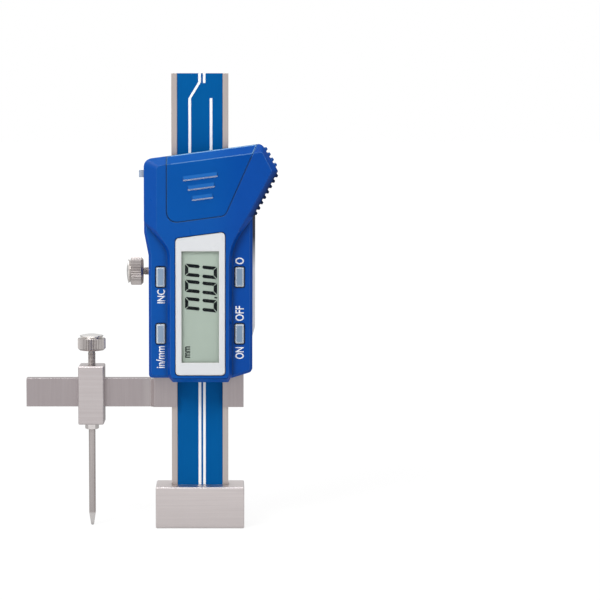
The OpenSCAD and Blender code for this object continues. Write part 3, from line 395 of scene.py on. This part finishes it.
def set_floor():
    """Paper that looks white; in reflections it is dimmer behind the gauge and to its right."""
    deselect_all()
    bpy.ops.mesh.primitive_plane_add(size=30, location=(0, 0, 0))
    floor = bpy.context.object
    floor.name = "studio_floor"
    material, tree, shader = new_material("floor_paper")
    fill(tree, shader, {"Base Color": (0.72, 0.72, 0.72, 1), "Roughness": 0.9, "Specular IOR Level": 0.1})
    glow = tree.nodes.new("ShaderNodeEmission")
    path = tree.nodes.new("ShaderNodeLightPath").outputs
    place = object_place(tree)
    where = split_axes(tree, place)
    paper = span_node(tree, vector_node(tree, "LENGTH", place)["Value"], *PAPER_ROUND)
    seen = greatest(tree, path["Is Camera Ray"], path["Is Glossy Ray"], path["Is Transmission Ray"])
    behind = span_node(tree, where["Y"], *DIM_BEHIND)
    beside = span_node(tree, where["X"], *DIM_RIGHT)
    dim = product(tree, math_node(tree, "ADD", behind, beside), path["Is Glossy Ray"])
    fill(tree, glow, {"Color": (1, 1, 1, 1), "Strength": span_node(tree, dim, 0.0, 1.0, PAPER_GLOW, 0.0)})
    sheet = mix_shaders(tree, product(tree, seen, paper), shader.outputs[0], glow.outputs[0])
    fill(tree, tree.nodes["Material Output"], {"Surface": sheet})
    floor.data.materials.append(material)


def add_lamp(name, place, aim, width, height, power):
    bpy.ops.object.light_add(type="AREA", location=place)
    lamp = bpy.context.object
    lamp.name = name
    lamp.data.shape = "RECTANGLE"
    lamp.data.size = width
    lamp.data.size_y = height
    lamp.data.energy = power
    lamp.rotation_euler = (Vector(aim) - Vector(place)).to_track_quat("-Z", "Y").to_euler()


# ---------------------------------------------------------------- finishes

GROOVE_SLACK = 0.08


def groove_share(tree, piece, across, bands):
    """Share of the grooves of a round piece: each band is a root and a tip radius in millimetres."""
    low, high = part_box(piece)
    axes = split_axes(tree, object_place(tree))
    squares = []
    for axis in across:
        centre = (low["XYZ".index(axis)] + high["XYZ".index(axis)]) / 2
        offset = math_node(tree, "SUBTRACT", axes[axis], centre)
        squares.append(product(tree, offset, offset))
    radius = math_node(tree, "SQRT", math_node(tree, "ADD", *squares))
    depths = []
    for root, tip in bands:
        depth = span_node(tree, radius, root * MM, tip * MM, 1.0, 0.0)
        depths.append(product(tree, depth, within(tree, radius, root - GROOVE_SLACK, tip + GROOVE_SLACK)))
    return greatest(tree, *depths)


def stretch_share(tree, limits):
    """Share of a stretch: each limit is an axis, a low end, a high end and a blur in millimetres."""
    axes = split_axes(tree, object_place(tree))
    shares = []
    for axis, low, high, blur in limits:
        shares.append(span_node(tree, axes[axis], (low - blur) * MM, (low + blur) * MM, 0.0, 1.0))
        shares.append(span_node(tree, axes[axis], (high - blur) * MM, (high + blur) * MM, 1.0, 0.0))
    return product(tree, *shares)


# How much of a metal's patches, edges and grooves shows, and how dark its marks are: painted shade in
# corners and grooves. Lighter edges are wear and a painted highlight.
# The height of its ground lines is in metres.
PATCH_SHARE, PATCH_TONE = 0.22, 0.86
EDGE_SHARE = 0.6
CORNER_SHADE_TONE = 0.35
GROOVE_SHARE, GROOVE_TONE = 0.7, 0.3
LINE_HEIGHT = 0.00002


def brushed_steel(name, dark, light, stretch, rough, edge=(0.85, 0.83, 0.82), width=0.00025, break_up=0.35,
                  line_depth=0.5, corner_shade=0.45, shade_reach=0.0012, polished_and_lit=(), grooves=None):
    """Bare metal with ground lines, brighter edges from wear and a painted highlight, and painted shade in
    the corners.

    Each stretch with a look of its own (polished, painted highlight, painted shade) has its limits, colour
    and roughness. Grooves, darkened with painted shade, are a round piece, the axes across it and its
    bands.
    """
    material, tree, shader = new_material(name)
    lines = use_group(tree, brush_lines, Stretch=stretch).outputs
    wear_and_highlight = use_group(tree, edge_wear_and_highlight, Width=width, Break_Up=break_up).outputs
    shade = use_group(tree, crevice_shade, Reach=shade_reach).outputs
    steel = mix_colour(tree, lines["Lines"], dark, light)
    patches = noise_span(tree, lines["Patches"], 0.0, PATCH_SHARE)
    steel = mix_colour(tree, patches, steel, darker(light, PATCH_TONE))
    gloss = span_node(tree, lines["Lines"], 0.0, 1.0, rough + 0.07, rough - 0.05)
    # Polished stretches, and stretches of painted highlight and painted shade.
    for limits, bright, smooth in polished_and_lit:
        share = stretch_share(tree, limits)
        steel = mix_colour(tree, share, steel, bright)
        gloss = span_node(tree, share, 0.0, 1.0, gloss, smooth)
    # Painted shade in the inner corners.
    steel = mix_colour(tree, product(tree, shade["Crevice"], corner_shade), steel, darker(dark, CORNER_SHADE_TONE))
    # Lighter edges: wear and a painted highlight.
    steel = mix_colour(tree, product(tree, wear_and_highlight["Edge"], EDGE_SHARE), steel, edge)
    rounded = wear_and_highlight["Normal"]
    if grooves:
        # Painted shade in the grooves.
        deep = product(tree, groove_share(tree, *grooves), GROOVE_SHARE)
        steel = mix_colour(tree, deep, steel, darker(dark, GROOVE_TONE))
        rounded = None
    fill(tree, shader, {"Base Color": steel, "Metallic": 1.0, "Roughness": gloss,
                        "Normal": bump(tree, lines["Lines"], line_depth, LINE_HEIGHT, rounded)})
    return material


# Colours that the blue cover and lid add: painted shade on the side slopes, painted light on the wedges'
# ramps and a painted highlight on their crests; how much painted shade darkens the grip; and how dark the
# painted shade at rims and in corners is
SIDE_TINT = (0.2, 0.7, 0.9)
WEDGE_BLUE = (0.03, 0.2, 0.56)
CREST_WHITE = (0.84, 0.9, 1.0)
GRIP_SHARE = 0.85
RIM_TONE = 0.06
CORNER_TONE = 0.2

# Spans of x, in metres, and of a surface's slope, and of how far each deepens the cover's colour with
# painted shade
DEEPER_RIGHT = (3.0 * MM, 11.0 * MM, 0.0, 0.7)
DEEPER_SLOPE = (0.2, 0.7, 0.0, 1.0)

# Spans of a surface's upward slope, and of how far it is a wedge's ramp (painted light), faces down
# (painted highlight on the crests) or faces up (edges keep their wear and painted highlight)
RAMP_SLOPE = (0.04, 0.2, 0.0, 0.35)
UNDER_SLOPE = (-0.05, -0.4, 0.0, 1.0)
UPPER_SLOPE = (-0.1, 0.35, 0.15, 1.0)

# How far a plastic's corners are shaded, and its grain's height, in metres
CORNER_REACH = 0.0016
GRAIN_HEIGHT = 0.00004


def shaded_side(tree, normal):
    """Share of painted shade, a deeper colour: towards the right of the cover and on its side slopes."""
    right = span_node(tree, split_axes(tree, object_place(tree))["X"], *DEEPER_RIGHT)
    side = span_node(tree, absolute(tree, split_axes(tree, normal)["X"]), *DEEPER_SLOPE)
    return greatest(tree, right, side)


def mark_seams(tree, body, deep, wear_and_highlight):
    """Paints shade on the rims and the grip, painted light on the wedges' ramps and a painted highlight on
    their crests; also gives the share that edge wear and painted highlight keep.
    """
    zone = use_group(tree, seam_zone).outputs
    slope = split_axes(tree, wear_and_highlight["Normal"])["Z"]
    # Painted shade on the rims and the grip's teeth.
    rims = product(tree, wear_and_highlight["Edge"], zone["Zone"])
    rim_and_grip_shade = greatest(tree, rims, product(tree, zone["Grip"], GRIP_SHARE))
    body = mix_colour(tree, rim_and_grip_shade, body, darker(deep, RIM_TONE))
    # Painted light on the wedges' ramps, which face a little up.
    ramp = product(tree, span_node(tree, slope, *RAMP_SLOPE), zone["Wedges"])
    body = mix_colour(tree, ramp, body, WEDGE_BLUE)
    # Painted highlight on the wedges' edges that face down.
    under = span_node(tree, slope, *UNDER_SLOPE)
    body = mix_colour(tree, product(tree, wear_and_highlight["Edge"], under, zone["Wedges"]), body, CREST_WHITE)
    # Edge wear and painted highlight stay mostly on edges that face up, outside the marked zones.
    upper = span_node(tree, slope, *UPPER_SLOPE)
    marked = greatest(tree, zone["Zone"], zone["Grip"], zone["Wedges"])
    return body, product(tree, upper, math_node(tree, "SUBTRACT", 1.0, marked, clamp=True))


def moulded_plastic(name, colour, deep, worn_and_lit, rough, grain_depth=0.25, specular=0.4, edge_share=0.5,
                    width=0.0004, edge_full=0.16, corner_shade=0.6, seams=False, right_shade=None):
    """Moulded plastic: colour variation, fine grain, lighter edges from wear and a painted highlight, and
    painted shade in the corners.

    With seams, painted shade darkens the rims of the lid, bezel and buttons and the grip's teeth, and
    a painted highlight lightens the upper edges. A right shade is painted shade that deepens what lies
    right of the gauge's middle.
    """
    material, tree, shader = new_material(name)
    grain = use_group(tree, moulded_grain).outputs
    wear_and_highlight = use_group(tree, edge_wear_and_highlight, Width=width, Break_Up=0.15, Full_At=edge_full).outputs
    shade = use_group(tree, crevice_shade, Reach=CORNER_REACH).outputs
    body = mix_colour(tree, noise_span(tree, grain["Mottle"], 0.0, 0.5), colour, deep)
    # Painted shade right of the gauge's middle.
    if right_shade:
        body = mix_colour(tree, stretch_share(tree, RIGHT_SIDE), body, right_shade, "MULTIPLY")
    if seams:
        # Painted shade on the side slopes and towards the right.
        body = mix_colour(tree, shaded_side(tree, wear_and_highlight["Normal"]), body, SIDE_TINT, "MULTIPLY")
    # Painted shade in the inner corners.
    body = mix_colour(tree, product(tree, shade["Crevice"], corner_shade), body, darker(deep, CORNER_TONE))
    # Lighter edges: wear and a painted highlight.
    lighter_share = product(tree, wear_and_highlight["Edge"], edge_share)
    if seams:
        body, kept = mark_seams(tree, body, deep, wear_and_highlight)
        lighter_share = product(tree, lighter_share, kept)
    fill(tree, shader, {"Base Color": mix_colour(tree, lighter_share, body, worn_and_lit),
                        "Roughness": span_node(tree, grain["Rubs"], 0.0, 1.0, rough, rough - 0.12),
                        "Specular IOR Level": specular,
                        "Normal": bump(tree, grain["Grain"], grain_depth, GRAIN_HEIGHT, wear_and_highlight["Normal"])})
    return material


# Colours of the lens, the label's film and the display panel. The panel fades between two heights
# in millimetres to painted light at its upper end.
LENS_TINT, LENS_DEEP = (0.36, 0.4, 0.38), (0.28, 0.31, 0.3)
FILM_BLUE, FILM_RUBBED, FILM_DEEP = (0.0008, 0.1, 0.33), (0.002, 0.125, 0.38), (0.0006, 0.088, 0.3)
PANEL_GREEN, PANEL_SPECKLE = (0.4, 0.48, 0.415), (0.44, 0.52, 0.45)
PANEL_DEEP, PANEL_UPPER = (0.375, 0.445, 0.39), (0.47, 0.56, 0.48)
PANEL_FADE = (70.0, 81.0)


def clear_acrylic(name):
    """Thin clear lens with faint smears."""
    material, tree, shader = new_material(name)
    grain = use_group(tree, moulded_grain, Rub_Scale=160.0).outputs
    tint = mix_colour(tree, product(tree, grain["Mottle"], 0.3), LENS_TINT, LENS_DEEP)
    fill(tree, shader, {"Base Color": tint, "Alpha": 0.015, "Specular IOR Level": 0.1,
                        "Roughness": span_node(tree, grain["Rubs"], 0.0, 1.0, 0.06, 0.2),
                        "Normal": bump(tree, grain["Mottle"], 0.05, 0.00002)})
    return material


def printed_ink(name, colour, rough, specular=0.1):
    """Screen-printed ink, a little uneven."""
    material, tree, shader = new_material(name)
    grain = use_group(tree, moulded_grain, Grain_Scale=9000.0).outputs
    thin = noise_span(tree, grain["Grain"], 0.0, 0.25)
    gloss = noise_span(tree, grain["Mottle"], rough - 0.05, rough + 0.08)
    ink = mix_colour(tree, thin, colour, darker(colour, 0.9))
    fill(tree, shader, {"Base Color": ink, "Roughness": gloss, "Specular IOR Level": specular,
                        "Normal": bump(tree, grain["Grain"], 0.2, 0.00001)})
    return material


def label_film(name):
    """Blue printed film with a satin surface and faint vertical rub marks."""
    material, tree, shader = new_material(name)
    rub = use_group(tree, brush_lines, Stretch=(2500, 2500, 70), Contrast=0.8).outputs
    grain = use_group(tree, moulded_grain).outputs
    lighter_share = span_node(tree, rub["Lines"], 0.2, 0.8, 0.0, 0.3)
    mottled = noise_span(tree, grain["Mottle"], 0.0, 0.35)
    blue = mix_colour(tree, lighter_share, FILM_BLUE, FILM_RUBBED)
    blue = mix_colour(tree, mottled, blue, FILM_DEEP)
    gloss = span_node(tree, rub["Lines"], 0.0, 1.0, 0.42, 0.5)
    fill(tree, shader, {"Base Color": blue, "Roughness": gloss, "Specular IOR Level": 0.03,
                        "Normal": bump(tree, grain["Grain"], 0.1, 0.00002)})
    return material


def liquid_crystal(name):
    """Grey-green reflective panel with fine speckle, and painted light at its upper end."""
    material, tree, shader = new_material(name)
    grain = use_group(tree, moulded_grain, Grain_Scale=14000.0).outputs
    speckle = noise_span(tree, grain["Grain"], 0.0, 0.5)
    mottled = noise_span(tree, grain["Mottle"], 0.0, 0.3)
    height = split_axes(tree, object_place(tree))["Z"]
    # Painted light at the panel's upper end, against the bezel's shade.
    fade = span_node(tree, height, PANEL_FADE[0] * MM, PANEL_FADE[1] * MM, 0.0, 0.7)
    panel = mix_colour(tree, speckle, PANEL_GREEN, PANEL_SPECKLE)
    panel = mix_colour(tree, mottled, panel, PANEL_DEEP)
    panel = mix_colour(tree, fade, panel, PANEL_UPPER)
    gloss = noise_span(tree, grain["Mottle"], 0.3, 0.38)
    fill(tree, shader, {"Base Color": panel, "Roughness": gloss, "Specular IOR Level": 0.2,
                        "Normal": bump(tree, grain["Grain"], 0.05, 0.00001)})
    return material


# Stretches with a look of their own: axis, low end, high end and blur in millimetres. The ledge's face
# carries a painted reflection, with painted shade towards its top, the arm's step a painted highlight, and
# the right side the buttons' painted shade.
# FAR is past the part's end.
FAR = 200
LEDGE_FACE = (("X", 14.7, FAR, 0.1), ("Y", -FAR, LEDGE_FRONT + 0.4, 0.2))
LEDGE_TOP = (*LEDGE_FACE, ("Z", 77.9, FAR, 4.5))
ARM_ROOT = (("X", -15.6, -14.0, 1.0),)
ARM_STEP = (("X", -13.97, -12.93, 0.02), ("Z", -FAR, 42.3, 0.1))
CLAMP_CAP = (("Z", 53.55, FAR, 0.05),)
LOCK_CAP = (("X", -FAR, -19.5, 0.05),)
NEEDLE_POINT = (("Z", -FAR, 3.65, 0.25),)
RIGHT_SIDE = (("X", 5, FAR, 2),)

# Root and tip radii of the thumb screws' knurl and thread, in millimetres
KNURL_AND_THREAD = ((3.74, 3.9), (0.97, 1.07))

THUMB_SCREW = dict(rough=0.32, edge=(0.8, 0.77, 0.75), width=0.00004, line_depth=0.02, corner_shade=0.15,
                   shade_reach=0.0004)
CAP_LOOK = ((0.86, 0.84, 0.82), 0.16)

METALS = {
    "ground_steel": dict(
        dark=(0.645, 0.587, 0.583), light=(0.737, 0.675, 0.667), stretch=(40, 40, 2600), rough=0.34,
        edge=(0.96, 0.94, 0.93), width=0.0003, break_up=0.1, line_depth=0.3, corner_shade=0.25),
    "beam_steel": dict(
        dark=(0.49, 0.432, 0.412), light=(0.58, 0.522, 0.502), stretch=(2600, 2600, 45), rough=0.36,
        edge=(0.75, 0.72, 0.7), line_depth=0.3),
    "frame_steel": dict(
        dark=(0.392, 0.345, 0.352), light=(0.432, 0.385, 0.392), stretch=(2400, 2400, 45), rough=0.4,
        edge=(0.66, 0.63, 0.63), width=0.0002, line_depth=0.2, corner_shade=0.1,
        # The ledge's face carries a painted reflection, its top painted shade, and the arm's step a
        # painted highlight.
        polished_and_lit=((LEDGE_FACE, (0.77, 0.77, 0.78), 0.3), (LEDGE_TOP, (0.06, 0.065, 0.085), 0.3),
                  (ARM_ROOT, (0.45, 0.41, 0.41), 0.4), (ARM_STEP, (0.78, 0.72, 0.72), 0.35))),
    "carrier_steel": dict(
        dark=(0.547, 0.495, 0.495), light=(0.622, 0.573, 0.573), stretch=(45, 45, 2400), rough=0.36,
        edge=(0.8, 0.77, 0.77), width=0.0002, line_depth=0.3, corner_shade=0.2),
    "screw_steel": dict(
        dark=(0.59, 0.545, 0.53), light=(0.66, 0.615, 0.6), stretch=(500, 500, 1800), **THUMB_SCREW,
        polished_and_lit=((CLAMP_CAP, *CAP_LOOK),), grooves=("clamp_screw", "XY", KNURL_AND_THREAD)),
    "lock_steel": dict(
        dark=(0.55, 0.5, 0.485), light=(0.62, 0.57, 0.555), stretch=(1800, 500, 500), **THUMB_SCREW,
        polished_and_lit=((LOCK_CAP, *CAP_LOOK),), grooves=("lock_screw", "YZ", KNURL_AND_THREAD)),
    "fastener_steel": dict(
        dark=(0.33, 0.33, 0.34), light=(0.42, 0.42, 0.43), stretch=(1800, 1800, 1800), rough=0.36),
    "nut_steel": dict(
        dark=(0.66, 0.62, 0.61), light=(0.74, 0.7, 0.69), stretch=(900, 900, 900), rough=0.16,
        edge=(0.9, 0.88, 0.87), width=0.00008, line_depth=0.1, corner_shade=0.3, shade_reach=0.0004),
    "needle_steel": dict(
        dark=(0.43, 0.388, 0.38), light=(0.53, 0.49, 0.48), stretch=(2800, 2800, 60), rough=0.26,
        edge=(0.75, 0.72, 0.7), line_depth=0.3, polished_and_lit=((NEEDLE_POINT, (0.7, 0.67, 0.66), 0.2),)),
    "brass": dict(
        dark=(0.5, 0.33, 0.08), light=(0.66, 0.46, 0.13), stretch=(500, 500, 2200), rough=0.34,
        edge=(0.8, 0.62, 0.25)),
    "cell_steel": dict(
        dark=(0.5, 0.5, 0.52), light=(0.68, 0.68, 0.7), stretch=(1500, 90, 1500), rough=0.2,
        edge=(0.85, 0.85, 0.86)),
    "spring_metal": dict(
        dark=(0.56, 0.4, 0.12), light=(0.7, 0.53, 0.2), stretch=(1500, 1500, 90), rough=0.25,
        edge=(0.8, 0.68, 0.35)),
}

PLASTICS = {
    "cover_plastic": dict(
        colour=(0.0012, 0.083, 0.375), deep=(0.001, 0.07, 0.335), worn_and_lit=(0.16, 0.36, 0.7), rough=0.34,
        specular=0.12, edge_full=0.05, corner_shade=0.75, seams=True),
    "lid_plastic": dict(
        colour=(0.002, 0.086, 0.37), deep=(0.0015, 0.074, 0.33), worn_and_lit=(0.3, 0.56, 0.82), rough=0.34,
        specular=0.06, edge_share=1.0, edge_full=0.05, seams=True),
    "bezel_plastic": dict(
        colour=(0.71, 0.725, 0.745), deep=(0.67, 0.685, 0.705), worn_and_lit=(0.95, 0.94, 0.92), rough=0.3,
        grain_depth=0.08, edge_share=0.9, specular=0.3),
    "button_plastic": dict(
        colour=(0.25, 0.345, 0.465), deep=(0.22, 0.31, 0.425), worn_and_lit=(0.84, 0.85, 0.83), rough=0.35,
        grain_depth=0.1, width=0.0006, edge_full=0.04, edge_share=0.95, right_shade=(0.8, 0.85, 0.88)),
    "nub_plastic": dict(
        colour=(0.44, 0.52, 0.63), deep=(0.4, 0.47, 0.58), worn_and_lit=(0.5, 0.53, 0.6), rough=0.4,
        grain_depth=0.1, width=0.0002),
    "scale_laminate": dict(
        colour=(0.2, 0.14, 0.05), deep=(0.16, 0.11, 0.04), worn_and_lit=(0.3, 0.24, 0.12), rough=0.5),
    "board_laminate": dict(
        colour=(0.006, 0.1, 0.03), deep=(0.005, 0.07, 0.024), worn_and_lit=(0.2, 0.26, 0.12), rough=0.35),
    "dark_rubber": dict(
        colour=(0.03, 0.03, 0.034), deep=(0.02, 0.02, 0.023), worn_and_lit=(0.06, 0.06, 0.065), rough=0.75),
    "switch_plastic": dict(
        colour=(0.02, 0.02, 0.022), deep=(0.014, 0.014, 0.016), worn_and_lit=(0.07, 0.07, 0.075), rough=0.45),
}

INKS = {
    "white_ink": dict(colour=(0.94, 0.95, 0.97), rough=0.45),
    "stripe_ink": dict(colour=(0.97, 0.98, 0.99), rough=0.4),
    "digit_ink": dict(colour=(0.002, 0.004, 0.006), rough=0.45, specular=0.03),
}


def make_all(maker, looks):
    return {name: maker(name, **look) for name, look in looks.items()}


materials = {
    **make_all(brushed_steel, METALS),
    **make_all(moulded_plastic, PLASTICS),
    "label_film": label_film("label_film"),
    "lens_clear": clear_acrylic("lens_clear"),
    "display_glass": liquid_crystal("display_glass"),
    **make_all(printed_ink, INKS),
}

# Nodes whose finish isn't their material slot's own
FINISH_BY_NODE = {
    "scriber_needle": "needle_steel",
    "needle_nut": "nut_steel",
    "carrier_block": "carrier_steel",
    "lock_screw": "lock_steel",
    "battery_lid": "lid_plastic",
    "side_button": "nub_plastic",
}


def finish_solids():
    slots = {entry["node"]: entry["material_slot"] for entry in frame["record"]["subparts"]}
    for name, solid in nodes.items():
        solid.data.materials.clear()
        solid.data.materials.append(materials[FINISH_BY_NODE.get(name, slots[name])])


# ---------------------------------------------------------------- printed and display pieces

PRINT_DEPTH = 0.03


def only(piece):
    deselect_all()
    piece.select_set(True)
    bpy.context.view_layer.objects.active = piece


def apply_place(piece):
    only(piece)
    bpy.ops.object.transform_apply(location=True, rotation=True, scale=True)


def thicken(piece):
    """Gives a flat shape the print's thickness and closes it."""
    only(piece)
    solid = piece.modifiers.new("thickness", "SOLIDIFY")
    solid.thickness = PRINT_DEPTH * MM
    solid.offset = 1.0
    bpy.ops.object.modifier_apply(modifier=solid.name)
    bpy.ops.object.mode_set(mode="EDIT")
    bpy.ops.mesh.select_all(action="SELECT")
    bpy.ops.mesh.normals_make_consistent(inside=False)
    bpy.ops.object.mode_set(mode="OBJECT")


def join(pieces):
    deselect_all()
    for piece in pieces:
        piece.select_set(True)
    bpy.context.view_layer.objects.active = pieces[0]
    bpy.ops.object.join()
    return pieces[0]


def finish_piece(piece, name, body, material):
    piece.name = name
    piece.data.name = name
    piece.data.materials.clear()
    piece.data.materials.append(materials[material])
    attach(piece, body)


def add_plate(x_range, z_range, y):
    """Flat upright rectangle that faces the front, in millimetres."""
    deselect_all()
    centre = (sum(x_range) / 2 * MM, y * MM, sum(z_range) / 2 * MM)
    bpy.ops.mesh.primitive_plane_add(size=1, location=centre, rotation=(math.pi / 2, 0, 0))
    plate = bpy.context.object
    plate.scale = ((x_range[1] - x_range[0]) * MM, (z_range[1] - z_range[0]) * MM, 1)
    apply_place(plate)
    return plate


def pick(piece, x=None, z=None):
    """Opens a piece in edit mode with only its corners at x, at z or at both picked, in millimetres."""
    def at(value, wanted):
        return wanted is None or abs(value / MM - wanted) < 0.01

    only(piece)
    for vertex in piece.data.vertices:
        vertex.select = at(vertex.co.x, x) and at(vertex.co.z, z)
    for edge in piece.data.edges:
        edge.select = all(piece.data.vertices[i].select for i in edge.vertices)
    for face in piece.data.polygons:
        face.select = all(piece.data.vertices[i].select for i in face.vertices)
    bpy.ops.object.mode_set(mode="EDIT")
    bpy.ops.mesh.select_mode(type="VERT")


def move_picked(x, z):
    bpy.ops.transform.translate(value=(x * MM, 0, z * MM))


def draw_out_picked(x, z):
    """Draws the picked edge out into a new stretch of the piece."""
    bpy.ops.mesh.extrude_region_move(TRANSFORM_OT_translate={"value": (x * MM, 0, z * MM)})


def close_edit():
    bpy.ops.object.mode_set(mode="OBJECT")


# White stripes on the label, in millimetres: the left edge's points (x, z) going down, and the width.
# At rest the cover hides the film between the upper stripes' end and the lower stripes' start.
LABEL_TOP, LABEL_FOOT = 128.0, 11.85
UPPER_END, LOWER_START = 104.0, 60.0
STRIPES = (
    (((-0.44, LABEL_TOP), (-0.44, 125.55), (-3.2, 121.0), (-3.2, UPPER_END)), 0.75),
    (((0.88, LABEL_TOP), (0.88, 125.3)), 0.71),
    (((2.76, 121.07), (2.76, UPPER_END)), 0.76),
    (((-0.44, LOWER_START), (-0.44, LABEL_FOOT)), 0.78),
    (((0.88, LOWER_START), (0.88, LABEL_FOOT)), 0.71),
)

# Words at the buttons, which read upwards: left and right sides, low and high ends, in millimetres
RIGHT_WORD = (9.9, 12.32)
BUTTON_WORDS = (
    ("INC", (-11.81, -9.6), (64.12, 67.92)),
    ("in/mm", (-12.13, -9.72), (46.01, 52.15)),
    ("O", RIGHT_WORD, (75.0, 76.85)),
    ("OFF", RIGHT_WORD, (59.23, 63.37)),
    ("ON", RIGHT_WORD, (48.59, 51.87)),
)
WORD_WEIGHT, UNIT_WEIGHT = 0.014, 0.025


def printed_stripe(path, width):
    """White stripe along a path of left-edge points (x, z) going down."""
    (x, z_top), (_, z_low) = path[:2]
    stripe = add_plate((x, x + width), (z_low, z_top), LABEL_FRONT)
    for (x_from, z_from), (x_to, z_to) in zip(path[1:], path[2:]):
        pick(stripe, z=z_from)
        draw_out_picked(x_to - x_from, z_to - z_from)
        close_edit()
    thicken(stripe)
    return stripe


def print_scale_stripes():
    stripes = join([printed_stripe(path, width) for path, width in STRIPES])
    finish_piece(stripes, "label_stripes", "base", "stripe_ink")


def upright_word(words, x_range, z_range, y, weight):
    """Word that reads upwards, fitted between its left and right sides and its ends, in millimetres."""
    deselect_all()
    bpy.ops.object.text_add(location=(0, 0, 0))
    bpy.context.object.data.body = words
    bpy.context.object.data.resolution_u = 6
    bpy.context.object.data.offset = weight
    bpy.ops.object.convert(target="MESH")
    word = bpy.context.object
    length, height = word.dimensions.x, word.dimensions.y
    word.scale = ((z_range[1] - z_range[0]) * MM / length, (x_range[1] - x_range[0]) * MM / height, 1)
    word.rotation_euler = (math.pi / 2, -math.pi / 2, 0)
    apply_place(word)
    left = min(vertex.co.x for vertex in word.data.vertices)
    foot = min(vertex.co.z for vertex in word.data.vertices)
    word.location = (x_range[0] * MM - left, y * MM, z_range[0] * MM - foot)
    apply_place(word)
    thicken(word)
    return word


def print_button_words():
    words = [upright_word(*word, FLANK_FRONT, WORD_WEIGHT) for word in BUTTON_WORDS]
    finish_piece(join(words), "button_words", "slider", "white_ink")


# The reading lies on its side, heads to the left. Sizes of a digit's bars and places, in millimetres.
DIGIT_LEFT, DIGIT_RIGHT = -4.06, 4.86
DIGIT_TALL = 3.48
BAR = 0.95
BAR_GAP = 0.09
BAR_NOSE = 0.33
MIDDLE_GAP = 0.62
DIGIT_LEAN = 0.103
NOUGHT_FEET = (61.66, 66.47, 70.92)
POINT_X, POINT_Z = (4.1, 4.9), (65.63, 66.05)
UNIT_X, UNIT_Z = (-4.06, -2.62), (49.06, 52.22)


def end_bar():
    """Bar across the digit's head, narrower on its inner side."""
    inner = DIGIT_LEFT + BAR
    outer_low, inner_low = 2 * BAR_GAP, BAR + BAR_GAP
    bar = add_plate((DIGIT_LEFT, inner), (outer_low, DIGIT_TALL - outer_low), PANEL_FRONT)
    for low, way in ((outer_low, 1), (DIGIT_TALL - outer_low, -1)):
        pick(bar, x=inner, z=low)
        move_picked(0, way * (inner_low - outer_low))
        close_edit()
    pick(bar, x=inner)
    move_picked(0, -DIGIT_LEAN * BAR)
    close_edit()
    return bar


def long_bar(low, inner):
    """Bar from the digit's head to its middle, mitred at the head and pointed at the middle."""
    start = DIGIT_LEFT + 2 * BAR_GAP
    middle = (DIGIT_LEFT + DIGIT_RIGHT - MIDDLE_GAP) / 2
    shoulder = middle - BAR_NOSE
    mitre = BAR - BAR_GAP
    bar = add_plate((start, shoulder), (low, low + BAR), PANEL_FRONT)
    pick(bar, x=start, z=inner)
    move_picked(mitre, -DIGIT_LEAN * mitre)
    close_edit()
    pick(bar, x=shoulder)
    move_picked(0, -DIGIT_LEAN * (shoulder - start))
    draw_out_picked(BAR_NOSE, -DIGIT_LEAN * BAR_NOSE)
    bpy.ops.mesh.merge(type="CENTER")
    close_edit()
    return bar


def copy_to(piece, place, turn=0.0):
    """Copy with its own mesh, turned about the y axis and moved to a place (x, z) in millimetres."""
    double = piece.copy()
    double.data = piece.data.copy()
    bpy.context.collection.objects.link(double)
    double.rotation_euler = (0, turn, 0)
    double.location = (place[0] * MM, 0, place[1] * MM)
    apply_place(double)
    return double


def build_nought():
    """Nought of six bars: the head's half is modelled, and its copy, turned round, is the foot's half."""
    head = join([end_bar(), long_bar(0, BAR), long_bar(DIGIT_TALL - BAR, DIGIT_TALL - BAR)])
    thicken(head)
    sum_x = DIGIT_LEFT + DIGIT_RIGHT
    sum_z = DIGIT_TALL - DIGIT_LEAN * (DIGIT_RIGHT - DIGIT_LEFT)
    return join([head, copy_to(head, (sum_x, sum_z), math.pi)])


def print_reading():
    """The reading 0.00 with its point and its unit."""
    nought = build_nought()
    rise = DIGIT_LEAN * (DIGIT_RIGHT - DIGIT_LEFT)
    noughts = [copy_to(nought, (0, foot + rise)) for foot in NOUGHT_FEET]
    bpy.data.objects.remove(nought)
    point = add_plate(POINT_X, POINT_Z, PANEL_FRONT)
    pick(point, x=POINT_X[1])
    move_picked(0, -DIGIT_LEAN * (POINT_X[1] - POINT_X[0]))
    close_edit()
    thicken(point)
    unit = upright_word("mm", UNIT_X, UNIT_Z, PANEL_FRONT, UNIT_WEIGHT)
    finish_piece(join(noughts + [point, unit]), "display_reading", "slider", "digit_ink")


bpy.context.scene.view_settings.view_transform = "Standard"
set_camera()
set_world()
set_floor()
for lamp_name, lamp_values in LAMPS.items():
    add_lamp(lamp_name, *lamp_values)
finish_solids()
print_scale_stripes()
print_button_words()
print_reading()
